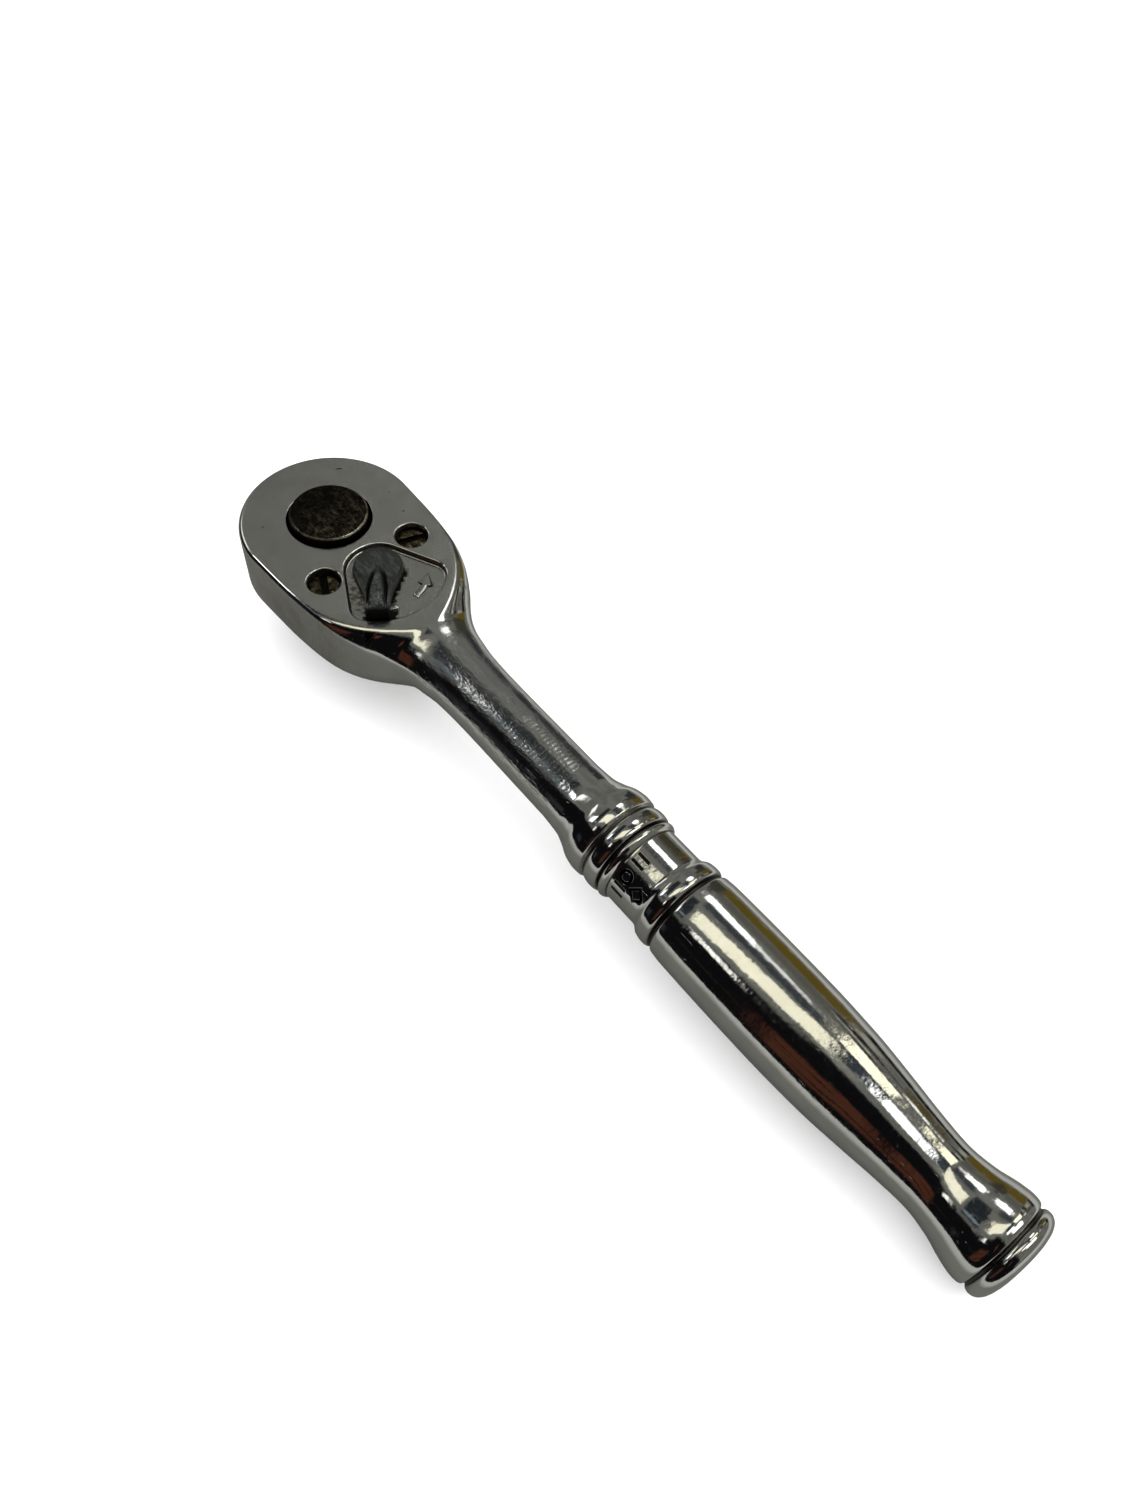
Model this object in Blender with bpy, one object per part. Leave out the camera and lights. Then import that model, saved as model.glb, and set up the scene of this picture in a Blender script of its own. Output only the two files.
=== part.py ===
"""Reversible ratchet wrench with a 1/4 in square drive, built as the separate pieces it comes apart into.

Frame: the origin is the centre of the square drive's end face, +Z runs up the drive axis to the selector
side of the head, and +X runs along the handle. Lengths are in millimetres until mesh_object() turns them
into metres. Heights inside the head are written from its middle plane, which is also the handle's axis.
"""
import math

import bmesh
import bpy
from mathutils import Matrix, Vector

MM = 0.001

# Head and handle
HEAD_RADIUS = 10.45      # plan radius of the round end, about the drive axis
HEAD_HALF = 3.85         # half the head's thickness, which is also the radius of the neck
EDGE_ROUND = 0.48        # radius of the head's long edges
SIDE_OUTLINE = [(0, 10.45), (6, 10.18), (10.4, 9.7), (14.3, 8.8), (17.5, 7.25), (19.2, 6.05), (21, 5.1),
                (22.6, 4.62), (24.2, 4.38), (26, 4.1), (30, 3.9), (34, 3.86), (44.5, 3.86)]
FLAT_OUTLINE = [(0, 9.97), (6, 9.7), (10.4, 9.15), (13.5, 8.05), (16, 6.2), (18, 3.95), (19.6, 1.7), (20.6, 0)]
CORNER_HEIGHT = [(0, EDGE_ROUND), (11, 0.55), (13, 0.9), (15.5, 1.8), (18, 2.8), (21, 3.5), (24, HEAD_HALF)]
UNDERSIDE_LAG = 2.2      # the underside stays square this much further down the neck than the top does
OGEE = [(44.5, 3.86), (46.8, 4.05), (48.4, 4.55), (49.6, 5.05), (50.8, 5.22), (51.7, 5.14)]
RING_RADIUS = 5.15       # the two beads either side of the collar
COLLAR = (55.35, 59.3, 4.54)  # the plain band between the beads: both ends and its radius
GRIP = [(62.4, 5.12), (64, 5.25), (70, 5.3), (76, 5.26), (82, 5.03), (87, 4.54), (91, 4.08), (94, 3.87),
        (96.6, 4.18), (98.6, 4.72), (100.2, 4.97), (100.9, 4.86)]
CAP_RADIUS = 4.86
END_X = 103.05           # the handle's end face
END_FACE_RADIUS = 3.3

# Drive
DRIVE_SIDE = 6.35        # 1/4 in across the flats
DRIVE_LENGTH = 7.6
DRIVE_CORNER = 0.35      # chamfer of the square's long corners
SHOULDER_PROUD = 0.25    # how far the journal stands out of the cover plate
TEETH = 24
TOOTH_TIP = 7.2
TOOTH_ROOT = 6.35
GEAR_BOTTOM, GEAR_TOP = -2.45, 2.05
HUB_RADIUS = 4.55
HUB_PROUD = 0.9          # how far the hub's end stands out of the head's face
HUB_BORE = 4.95
JOURNAL_RADIUS = 4.6

# Pocket and cover plate
POCKET_RADIUS = 7.6
POCKET_TOP = 2.2
PLATE_THICK = 1.25
PLATE_GAP = 0.12
PLATE_NOSE = 8.95        # plan radius about the drive axis of the seat that holds the cover plate
PLATE_CORNER = (12.2, 4.2, 3.2)
SCREW_X, SCREW_Y = 8.0, 5.95
SCREW_HEAD = 1.75
SCREW_SHANK = 0.95
SCREW_SUNK = 0.6         # how far the screw heads lie below the head's face
SCREW_HEAD_THICK = 0.8
SCREW_SLOT = (0.9, 0.45)  # width and depth
SLOT_TURN = {"left": -25.5, "right": 74.5}

# Selector and pawl
PIVOT_X = 10.0           # the selector's axis
RECESS_APEX = 3.8        # radius of the recess round the pivot
RECESS_FAN = 7.65        # radius of its far wall
RECESS_SPREAD = 27.0     # angle of its side walls to the handle
RECESS_CORNER = 2.0
RECESS_DEPTH = 0.65
LEVER_REST = -35.0       # direction of the lever at rest; it swings to +35
LEVER_DISC = 2.85
LEVER_REACH = 7.15
LEVER_TIP_HALF = 1.3
LEVER_TIP_RISE = 2.2     # height of the lever's tip above the head's face
LEVER_DISC_RISE = 0.5
SHAFT_RADIUS = 1.45
SHAFT_BOTTOM = -2.4
CLIP_GROOVE = (1.6, 2.1)
CLIP_RADIUS = 2.1
SELECTOR_BALL = 0.7
SELECTOR_BALL_OUT = 1.55  # distance of the ball's centre from the selector's axis
PAWL_SWING = 7.0         # the pawl rocks this far each way, one fifth of the lever's swing
PAWL_BOTTOM, PAWL_TOP = -2.4, 1.45
PAWL_HALF = 3.2
MESH_GAP = 0.15

# Detent in the square drive
DETENT_BALL = 1.19
DETENT_BORE = 1.24
DETENT_LIP = 1.03
DETENT_PROUD = 0.5       # how far the ball stands out of the square's face
DETENT_HEIGHT = 3.6      # above the square's end face

MIDDLE = DRIVE_LENGTH + SHOULDER_PROUD + HEAD_HALF  # height of the head's middle plane in the frame


def clear_scene():
    for obj in list(bpy.data.objects):
        bpy.data.objects.remove(obj)


def material(name, colour, roughness, metallic):
    made = bpy.data.materials.new(name)
    made.use_nodes = True
    shader = made.node_tree.nodes["Principled BSDF"]
    shader.inputs["Base Color"].default_value = (*colour, 1.0)
    shader.inputs["Roughness"].default_value = roughness
    shader.inputs["Metallic"].default_value = metallic
    return made


def link(obj, parent=None):
    bpy.context.scene.collection.objects.link(obj)
    if parent is not None:
        obj.parent = parent
    return obj


def axis_empty(name, x, y, z, parent=None):
    """An empty on a joint's axis. Its pieces keep world coordinates through their own offset."""
    empty = bpy.data.objects.new(name, None)
    empty.location = Vector((x, y, z)) * MM
    return link(empty, parent)


def mesh_object(name, points, faces, finish=None, origin=(0, 0, 0), parent=None, helper=False):
    """A mesh object from points in millimetres given about `origin`, which is where the object is placed."""
    mesh = bpy.data.meshes.new(name)
    shape = bmesh.new()
    corners = [shape.verts.new(Vector(p) * MM) for p in points]
    for face in faces:
        shape.faces.new([corners[i] for i in face])
    bmesh.ops.remove_doubles(shape, verts=shape.verts, dist=1e-7)
    bmesh.ops.dissolve_degenerate(shape, edges=shape.edges, dist=1e-7)
    bmesh.ops.recalc_face_normals(shape, faces=shape.faces)
    shape.to_mesh(mesh)
    shape.free()
    obj = bpy.data.objects.new(name, mesh)
    obj.location = Vector(origin) * MM
    if finish is not None:
        mesh.materials.append(finish)
        mesh.shade_smooth()
        mesh.set_sharp_from_angle(angle=math.radians(35))
    if helper:
        obj.hide_render = True
        obj.display_type = "WIRE"
    return link(obj, parent)


def arc(x, y, radius, start, end, steps):
    """Points on a circle from angle start to angle end, in degrees, both ends included."""
    turn = [math.radians(start + (end - start) * i / steps) for i in range(steps + 1)]
    return [(x + radius * math.cos(a), y + radius * math.sin(a)) for a in turn]


def circle(x, y, radius, steps):
    return arc(x, y, radius, 0, 360, steps)[:-1]


def turned(points, degrees, x=0.0, y=0.0):
    """Plan points turned about (x, y)."""
    c, s = math.cos(math.radians(degrees)), math.sin(math.radians(degrees))
    return [(x + (px - x) * c - (py - y) * s, y + (px - x) * s + (py - y) * c) for px, py in points]


def prism(name, outline, low, high, **options):
    """A plan outline extruded from height low to high, both measured from the middle plane."""
    count = len(outline)
    points = [(x, y, MIDDLE + low) for x, y in outline] + [(x, y, MIDDLE + high) for x, y in outline]
    faces = [list(range(count))[::-1], list(range(count, 2 * count))]
    faces += [[i, (i + 1) % count, count + (i + 1) % count, count + i] for i in range(count)]
    return mesh_object(name, points, faces, **options)


def turning(profile, steps):
    """Points and faces of a profile of (radius, height) turned about Z. It starts and ends on the axis."""
    points, faces, rings = [], [], []
    for radius, height in profile:
        first = len(points)
        turns = steps if radius > 0 else 1
        points += [(x, y, height) for x, y in circle(0, 0, radius, turns)]
        rings.append([first + i % turns for i in range(steps)])
    for low, high in zip(rings, rings[1:]):
        for i in range(steps):
            j = (i + 1) % steps
            corners = [low[i], low[j], high[j], high[i]]
            faces.append(list(dict.fromkeys(corners)))
    return points, faces


def lathe(name, profile, steps, x=0.0, y=0.0, **options):
    """A solid turned about a vertical axis through (x, y), with heights from the middle plane."""
    points, faces = turning(profile, steps)
    return mesh_object(name, [(x + px, y + py, MIDDLE + pz) for px, py, pz in points], faces, **options)


def lathe_along(name, profile, steps, start, direction, **options):
    """A solid turned about the horizontal axis that leaves start in the plan direction given in degrees."""
    points, faces = turning(profile, steps)
    frame = Matrix.Rotation(math.radians(direction), 4, "Z") @ Matrix.Rotation(math.radians(90), 4, "Y")
    placed = [Vector(start) + frame @ Vector(p) for p in points]
    return mesh_object(name, placed, faces, **options)


def combine(obj, other, operation):
    modifier = obj.modifiers.new(f"{operation.lower()}_{other.name}", "BOOLEAN")
    modifier.object = other
    modifier.operation = operation
    modifier.solver = "EXACT"


def smooth_curve(knots, x):
    """Height at x of a smooth curve through the knots, with no overshoot between them."""
    knots = [(float(a), float(b)) for a, b in knots]
    if x <= knots[0][0]:
        return knots[0][1]
    if x >= knots[-1][0]:
        return knots[-1][1]
    slopes = [(b2 - b1) / (a2 - a1) for (a1, b1), (a2, b2) in zip(knots, knots[1:])]
    tangents = [slopes[0]]
    for left, right in zip(slopes, slopes[1:]):
        tangents.append(0.0 if left * right <= 0 else 2 * left * right / (left + right))
    tangents.append(slopes[-1])
    i = max(k for k in range(len(slopes)) if knots[k][0] <= x)
    (a1, b1), (a2, b2) = knots[i], knots[i + 1]
    width = a2 - a1
    t = (x - a1) / width
    rise = b1 * (2 * t**3 - 3 * t**2 + 1) + b2 * (3 * t**2 - 2 * t**3)
    return rise + width * (tangents[i] * (t**3 - 2 * t**2 + t) + tangents[i + 1] * (t**3 - t**2))


# The forged body --------------------------------------------------------------------------------------

SECTION_CORNER = 5       # points on each rounded corner of a half section
FRONT_STEPS = 12         # half sections on a quarter of the head's round end


def corner_points(width, flat, corner, roundness):
    """A rounded corner of a section, from the flat face down to the side, as (out, up) pairs.

    flat is the half width of the flat face, corner the height of the rounded corner. roundness spreads the
    points evenly, from 0 for a flat-faced section to 1 for a full circle.
    """
    even = 180.0 / (2 * SECTION_CORNER + 1)
    points = []
    for i in range(1, SECTION_CORNER + 1):
        boxed = 90.0 * (SECTION_CORNER - i) / (SECTION_CORNER - 1)
        angle = math.radians(boxed + (90.0 - i * even - boxed) * roundness)
        points.append((flat + (width - flat) * math.cos(angle), HEAD_HALF - corner + corner * math.sin(angle)))
    return points


def half_section(upper, lower):
    """Half of a cross-section, from its top centre round the side to its bottom centre."""
    return [(0.0, HEAD_HALF)] + upper + [(out, -up) for out, up in reversed(lower)] + [(0.0, -HEAD_HALF)]


def neck_corner(x, shape_x):
    """The corner at x, as wide as the neck there and as square as it is at shape_x."""
    share = smooth_curve([(12, 0), (20, 0.7), (25, 1)], shape_x)
    return corner_points(smooth_curve(SIDE_OUTLINE, x), smooth_curve(FLAT_OUTLINE, shape_x),
                         smooth_curve(CORNER_HEIGHT, shape_x), share)


def round_section(radius):
    even = math.pi / (2 * SECTION_CORNER + 1)
    angles = [math.pi / 2 - i * even for i in range(2 * SECTION_CORNER + 2)]
    return [(radius * math.cos(a), radius * math.sin(a)) for a in angles]


def bead(start, end, foot, crown, steps=5):
    """Points (x, radius) over a raised ring."""
    middle, half = (start + end) / 2, (end - start) / 2
    angles = [math.pi * i / steps for i in range(steps + 1)]
    return [(middle - half * math.cos(a), foot + (crown - foot) * math.sin(a) ** 0.7) for a in angles]


def curve_points(knots, steps):
    start, end = knots[0][0], knots[-1][0]
    places = [start + (end - start) * i / steps for i in range(steps + 1)]
    return [(x, smooth_curve(knots, x)) for x in places]


def handle_profile():
    """(x, radius) from the end of the neck to the handle's end face: rings, stamped collar, grip and cap."""
    start, end, collar = COLLAR
    points = curve_points(OGEE, 9)[1:]
    points += [(52.0, 4.84)]
    points += bead(52.2, 54.1, 4.8, RING_RADIUS)
    points += [(54.25, 4.62), (54.4, 4.94), (54.65, 5.02), (54.95, 4.93), (start - 0.15, 4.67), (start, collar)]
    points += curve_points([(end, collar), (end + 0.35, 4.68), (end + 0.9, 5.04), (60.9, RING_RADIUS)], 6)
    points += [(61.4, RING_RADIUS), (61.75, 5.06), (61.93, 4.92), (62.05, 4.72), (62.2, 4.95)]
    points += curve_points(GRIP, 26)
    points += [(101.15, 4.58), (101.35, 4.72), (101.75, CAP_RADIUS), (102.2, 4.8), (102.6, 4.5)]
    points += [(102.9, 3.95), (END_X, END_FACE_RADIUS)]
    return points


def body_sections():
    """The half sections of one side, from the front of the head to the handle's end."""
    corner = corner_points(HEAD_RADIUS, HEAD_RADIUS - EDGE_ROUND, EDGE_ROUND, 0.0)
    front = half_section(corner, corner)
    sections = []
    for i in range(FRONT_STEPS):
        angle = math.pi - (math.pi / 2) * i / FRONT_STEPS
        sections.append([(out * math.cos(angle), out * math.sin(angle), up) for out, up in front])
    for x in (0, 3, 6, 9, 11, 12.5, 14, 15.5, 17, 18.5, 20, 21.5, 23, 25, 28, 34, 44.5):
        points = half_section(neck_corner(x, x), neck_corner(x, x - UNDERSIDE_LAG))
        sections.append([(x, out, up) for out, up in points])
    for x, radius in handle_profile():
        sections.append([(x, out, up) for out, up in round_section(radius)])
    return sections


def body_blank(finish):
    """The forging's outer skin: half sections joined along one side and, mirrored, along the other."""
    near = body_sections()
    far = [[(x, -y, z) for x, y, z in section] for section in near]
    columns = far[::-1] + near[1:]
    count = len(near[0])
    points = [(x, y, MIDDLE + z) for section in columns for x, y, z in section]
    faces = []
    for c in range(len(columns) - 1):
        for i in range(count - 1):
            a = c * count + i
            faces.append([a, a + 1, a + count + 1, a + count])
    last = (len(columns) - 1) * count
    faces.append([last + i for i in range(count)] + [i for i in range(count - 2, 0, -1)])
    return mesh_object("ratchet_body", points, faces, finish)


def pocket_outline():
    """Keyhole plan of the pocket: round for the gear, with a round-ended slot for the pawl."""
    half, centre = 3.95, 9.9
    meet = math.degrees(math.asin(half / POCKET_RADIUS))
    gear_side = arc(0, 0, POCKET_RADIUS, meet, 360 - meet, 40)
    return gear_side + arc(centre, 0, half, -90, 90, 14)


def plate_outline(inset, steps=5):
    """Plan of the cover plate's seat, or of the plate itself when inset is its gap all round."""
    x, y, radius = PLATE_CORNER
    nose, reach = PLATE_NOSE - inset, math.hypot(x, y)
    lean = math.degrees(math.atan2(y, x) + math.acos((PLATE_NOSE - radius) / reach))
    upper = arc(x, y, radius - inset, 0, lean, steps)
    lower = [(px, -py) for px, py in reversed(upper)]
    return upper + arc(0, 0, nose, lean, 360 - lean, 31) + lower


def recess_outline():
    """Fan-shaped recess that the lever swings in: a circle about the pivot that opens to a wider arc."""
    along = math.sqrt((RECESS_FAN - RECESS_CORNER) ** 2 - (RECESS_APEX - RECESS_CORNER) ** 2)
    spread = math.radians(RECESS_SPREAD)
    across = RECESS_APEX - RECESS_CORNER
    cx = along * math.cos(spread) - across * math.sin(spread)
    cy = along * math.sin(spread) + across * math.cos(spread)
    reach = math.degrees(math.atan2(cy, cx))
    far = arc(PIVOT_X, 0, RECESS_FAN, -reach, reach, 14)
    corner = arc(PIVOT_X + cx, cy, RECESS_CORNER, reach, 90 + RECESS_SPREAD, 5)
    apex = arc(PIVOT_X, 0, RECESS_APEX, 90 + RECESS_SPREAD, 270 - RECESS_SPREAD, 16)
    mirrored = [(x, -y) for x, y in reversed(corner)]
    return far[:-1] + corner + apex + mirrored[:-1]


def make_body(finish):
    body = body_blank(finish)
    face, back = HEAD_HALF, -HEAD_HALF
    screw_floor = face - SCREW_SUNK - SCREW_HEAD_THICK - 0.1
    cutters = [
        prism("cut_pocket", pocket_outline(), back - 1, POCKET_TOP, helper=True),
        prism("cut_plate_seat", plate_outline(0), back - 2, back + PLATE_THICK + PLATE_GAP, helper=True),
        prism("cut_hub_bore", circle(0, 0, HUB_BORE, 40), 0, face + 2, helper=True),
        prism("cut_recess", recess_outline(), face - RECESS_DEPTH, face + 2, helper=True),
        prism("cut_shaft_hole", circle(PIVOT_X, 0, SHAFT_RADIUS + 0.1, 24), 0, face + 1, helper=True),
    ]
    for side, sign in (("right", 1), ("left", -1)):
        y = sign * SCREW_Y
        hole = circle(SCREW_X, y, SCREW_SHANK + 0.15, 16)
        bore = circle(SCREW_X, y, SCREW_HEAD + 0.15, 24)
        cutters.append(prism(f"cut_screw_hole_{side}", hole, back, face - 1, helper=True))
        cutters.append(prism(f"cut_screw_head_{side}", bore, screw_floor, face + 3, helper=True))
    for cutter in cutters:
        combine(body, cutter, "DIFFERENCE")
    return body


# Cover plate and its screws ---------------------------------------------------------------------------


def make_cover_plate(finish):
    plate = prism("cover_plate", plate_outline(PLATE_GAP), -HEAD_HALF, -HEAD_HALF + PLATE_THICK, finish=finish)
    holes = [("drive", 0, 0, JOURNAL_RADIUS + 0.15, 40)]
    holes += [(f"thread_{s}", SCREW_X, s * SCREW_Y, SCREW_SHANK + 0.06, 16) for s in (1, -1)]
    for name, x, y, radius, steps in holes:
        cutter = prism(f"cut_{name}", circle(x, y, radius, steps), -HEAD_HALF - 1, 0, helper=True)
        combine(plate, cutter, "DIFFERENCE")


def make_screw(side, sign, finish):
    """Cheese-head screw: it drops in from the selector side and is threaded into the cover plate."""
    top = HEAD_HALF - SCREW_SUNK
    under = top - SCREW_HEAD_THICK
    tip = -HEAD_HALF + 0.05
    profile = [(0, tip), (SCREW_SHANK - 0.2, tip), (SCREW_SHANK, tip + 0.2), (SCREW_SHANK, under),
               (SCREW_HEAD, under), (SCREW_HEAD, top - 0.22), (SCREW_HEAD - 0.12, top - 0.08),
               (SCREW_HEAD - 0.5, top), (0, top)]
    y = sign * SCREW_Y
    screw = lathe(f"cover_screw_{side}", profile, 24, SCREW_X, y, finish=finish)
    width, depth = SCREW_SLOT
    reach = SCREW_HEAD + 0.5
    corners = [(-reach, -width / 2), (reach, -width / 2), (reach, width / 2), (-reach, width / 2)]
    slot = turned([(SCREW_X + px, y + py) for px, py in corners], SLOT_TURN[side], SCREW_X, y)
    combine(screw, prism(f"cut_slot_{side}", slot, top - depth, top + 1, helper=True), "DIFFERENCE")


# Drive gear and its detent ----------------------------------------------------------------------------


def gear_outline(grow=0.0):
    """Plan of the ratchet teeth, equal on both flanks because the wrench reverses."""
    pitch = 2 * math.pi / TEETH
    points = []
    for tooth in range(TEETH):
        middle = tooth * pitch
        for share, radius in ((-0.5, TOOTH_ROOT), (-0.13, TOOTH_TIP), (0.13, TOOTH_TIP)):
            angle = middle + share * pitch
            points.append(((radius + grow) * math.cos(angle), (radius + grow) * math.sin(angle)))
    return points


def square_outline():
    half, cut = DRIVE_SIDE / 2, DRIVE_CORNER
    corner = [(half, half - cut), (half - cut, half)]
    return [p for quarter in range(4) for p in turned(corner, 90 * quarter)]


def square_drive(finish):
    """The square with its end chamfered, reaching up into the journal."""
    tip, root = -MIDDLE, -HEAD_HALF + 0.6
    outline = square_outline()
    count = len(outline)
    rings = [(0.88, tip), (1.0, tip + 0.45), (1.0, root)]
    points = [(x * size, y * size, MIDDLE + z) for size, z in rings for x, y in outline]
    faces = [list(range(count))[::-1], list(range(2 * count, 3 * count))]
    for ring in (0, count):
        faces += [[ring + i, ring + (i + 1) % count, ring + count + (i + 1) % count, ring + count + i]
                  for i in range(count)]
    return mesh_object("join_square", points, faces, finish, helper=True)


def make_drive(finish, ball_finish, spring_finish):
    pivot = axis_empty("drive_axis", 0, 0, 0)
    gear = prism("drive_gear", gear_outline(), GEAR_BOTTOM, GEAR_TOP, finish=finish, parent=pivot)
    end = HEAD_HALF + HUB_PROUD
    shoulder = -HEAD_HALF - SHOULDER_PROUD
    hub = [(0, 1), (HUB_RADIUS, 1), (HUB_RADIUS, end - 0.18), (HUB_RADIUS - 0.18, end), (0, end)]
    journal = [(0, shoulder), (JOURNAL_RADIUS, shoulder), (JOURNAL_RADIUS, -1), (0, -1)]
    combine(gear, lathe("join_hub", hub, 40, helper=True), "UNION")
    combine(gear, lathe("join_journal", journal, 40, helper=True), "UNION")
    combine(gear, square_drive(finish), "UNION")

    face = DRIVE_SIDE / 2
    depth = 5.1
    bore = [(0, -depth), (DETENT_BORE, -depth), (DETENT_BORE, -0.42), (DETENT_LIP, 0.02), (DETENT_LIP, 1), (0, 1)]
    mouth = (-face, 0, DETENT_HEIGHT)
    combine(gear, lathe_along("cut_detent_bore", bore, 20, mouth, 180, helper=True), "DIFFERENCE")

    centre = face + DETENT_PROUD - DETENT_BALL
    make_ball("drive_ball", DETENT_BALL, (-centre, 0, DETENT_HEIGHT), ball_finish, pivot)
    make_spring("drive_ball_spring", (-(centre - DETENT_BALL - 0.08), 0, DETENT_HEIGHT),
                (face - depth) * -1 - 0.1, 0.92, 0.16, 5, spring_finish, pivot, 0)
    return pivot


def make_ball(name, radius, centre, finish, parent):
    mesh = bpy.data.meshes.new(name)
    shape = bmesh.new()
    bmesh.ops.create_icosphere(shape, subdivisions=2, radius=radius * MM)
    shape.to_mesh(mesh)
    shape.free()
    mesh.materials.append(finish)
    mesh.shade_smooth()
    ball = bpy.data.objects.new(name, mesh)
    ball.location = Vector(centre) * MM
    return link(ball, parent)


def make_spring(name, start, end_x, coil, wire, turns, finish, parent, direction, around=(0.0, 0.0)):
    """A coil spring along X from start to end_x, then turned about the vertical line through `around`."""
    sides, per_turn = 6, 10
    steps = turns * per_turn
    x0, y0, z0 = start
    inset = wire if end_x > x0 else -wire
    first, last = x0 + inset, end_x - inset
    points, faces = [], []
    for i in range(steps + 1):
        angle = 2 * math.pi * i / per_turn
        middle = first + (last - first) * i / steps
        for k in range(sides):
            a = 2 * math.pi * k / sides
            radius = coil + wire * math.cos(a)
            points.append((middle + wire * math.sin(a), y0 + radius * math.cos(angle), z0 + radius * math.sin(angle)))
    for i in range(steps):
        for k in range(sides):
            j = (k + 1) % sides
            faces.append([i * sides + k, i * sides + j, (i + 1) * sides + j, (i + 1) * sides + k])
    faces.append(list(range(sides)))
    faces.append([steps * sides + k for k in range(sides)])
    flat = turned([(x, y) for x, y, z in points], direction, *around)
    placed = [(x, y, z) for (x, y), (_, _, z) in zip(flat, points)]
    return mesh_object(name, placed, faces, finish, parent=parent)


# Selector lever, its clip and ball --------------------------------------------------------------------


def lever_half_width(out):
    """Half width of the lever at a distance `out` from its pivot, along it."""
    if out <= 0:
        return math.sqrt(max(LEVER_DISC**2 - out**2, 0.0))
    return smooth_curve([(0, LEVER_DISC), (1.6, 2.55), (3.6, 1.75), (5.4, 1.38), (LEVER_REACH, LEVER_TIP_HALF)], out)


def lever_height(out, share):
    """Height of the lever's top above the middle plane. share runs from -1 to 1 across it."""
    spine = smooth_curve([(-LEVER_DISC, 0.25), (-1.5, LEVER_DISC_RISE), (1.5, 0.75), (4, 1.5),
                          (6.3, LEVER_TIP_RISE), (LEVER_REACH, LEVER_TIP_RISE - 0.35)], out)
    fluting = smooth_curve([(-0.5, 0), (2.5, 1), (LEVER_REACH, 0.9)], out)
    centre = abs(share)
    groove = 0.55 * fluting * math.exp(-((centre - 0.5) / 0.17) ** 2)
    shoulder = 0.3 * fluting * smooth_curve([(0.45, 0), (1, 1)], centre)
    edge = 0.35 * smooth_curve([(0.8, 0), (1, 1)], centre)
    return HEAD_HALF + spine - groove - shoulder - edge


def lever_blank(finish):
    """The thumb piece: cross-sections along the lever, each with a fluted top and a flat underside."""
    across = [-1, -0.85, -0.66, -0.5, -0.34, -0.17, 0, 0.17, 0.34, 0.5, 0.66, 0.85, 1]
    floor = HEAD_HALF - RECESS_DEPTH + 0.1
    along = [-2.8, -2.45, -1.8, -0.9, 0, 0.9, 1.8, 2.8, 3.8, 4.8, 5.7, 6.4, LEVER_REACH]
    points, faces = [], []
    for out in along:
        half = lever_half_width(out)
        top = [(PIVOT_X + out, half * s, MIDDLE + lever_height(out, s)) for s in across]
        points += top + [(x, y, MIDDLE + floor) for x, y, z in (top[-1], top[0])]
    count = len(across) + 2
    for row in range(len(along) - 1):
        for i in range(count):
            j = (i + 1) % count
            faces.append([row * count + i, row * count + j, (row + 1) * count + j, (row + 1) * count + i])
    faces.append(list(range(count)))
    faces.append([(len(along) - 1) * count + i for i in range(count)])
    placed = turned([(x, y) for x, y, z in points], LEVER_REST, PIVOT_X, 0)
    return [(x, y, z) for (x, y), (_, _, z) in zip(placed, points)], faces


def make_selector(finish, clip_finish, ball_finish, spring_finish):
    pivot = axis_empty("selector_axis", PIVOT_X, 0, MIDDLE)
    frame = (-PIVOT_X, 0, -MIDDLE)
    points, faces = lever_blank(finish)
    lever = mesh_object("selector_lever", points, faces, finish, frame, pivot)

    low, high = CLIP_GROOVE
    groove = SHAFT_RADIUS - 0.3
    profile = [(0, SHAFT_BOTTOM), (SHAFT_RADIUS - 0.15, SHAFT_BOTTOM), (SHAFT_RADIUS, SHAFT_BOTTOM + 0.15),
               (SHAFT_RADIUS, low), (groove, low), (groove, high), (SHAFT_RADIUS, high),
               (SHAFT_RADIUS, HEAD_HALF - 0.2), (0, HEAD_HALF - 0.2)]
    shaft = lathe("join_shaft", profile, 24, PIVOT_X, 0, origin=frame, parent=pivot, helper=True)
    combine(lever, shaft, "UNION")
    bore = [(0, 0), (SELECTOR_BALL + 0.06, 0), (SELECTOR_BALL + 0.06, 2.6), (0, 2.6)]
    back = turned([(PIVOT_X - 0.95, 0)], LEVER_REST, PIVOT_X, 0)[0]
    level = (PAWL_BOTTOM + PAWL_TOP) / 2
    cutter = lathe_along("cut_ball_bore", bore, 16, (*back, MIDDLE + level), LEVER_REST,
                         origin=frame, parent=pivot, helper=True)
    combine(lever, cutter, "DIFFERENCE")

    opening = 38
    inner, outer = SHAFT_RADIUS - 0.22, CLIP_RADIUS
    ring = arc(PIVOT_X, 0, outer, opening, 360 - opening, 28) + arc(PIVOT_X, 0, inner, 360 - opening, opening, 28)
    ring = turned(ring, LEVER_REST, PIVOT_X, 0)
    prism("selector_clip", ring, low + 0.05, high - 0.05, finish=clip_finish, origin=frame, parent=pivot)

    seat = turned([(PIVOT_X + SELECTOR_BALL_OUT, 0)], LEVER_REST, PIVOT_X, 0)[0]
    make_ball("selector_ball", SELECTOR_BALL, (seat[0] - PIVOT_X, seat[1], level), ball_finish, pivot)
    spring = make_spring("selector_spring", (PIVOT_X - 0.88, 0, MIDDLE + level),
                         PIVOT_X + SELECTOR_BALL_OUT - SELECTOR_BALL - 0.05, 0.48, 0.11, 4, spring_finish,
                         pivot, LEVER_REST, (PIVOT_X, 0))
    spring.location = Vector(frame) * MM


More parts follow.
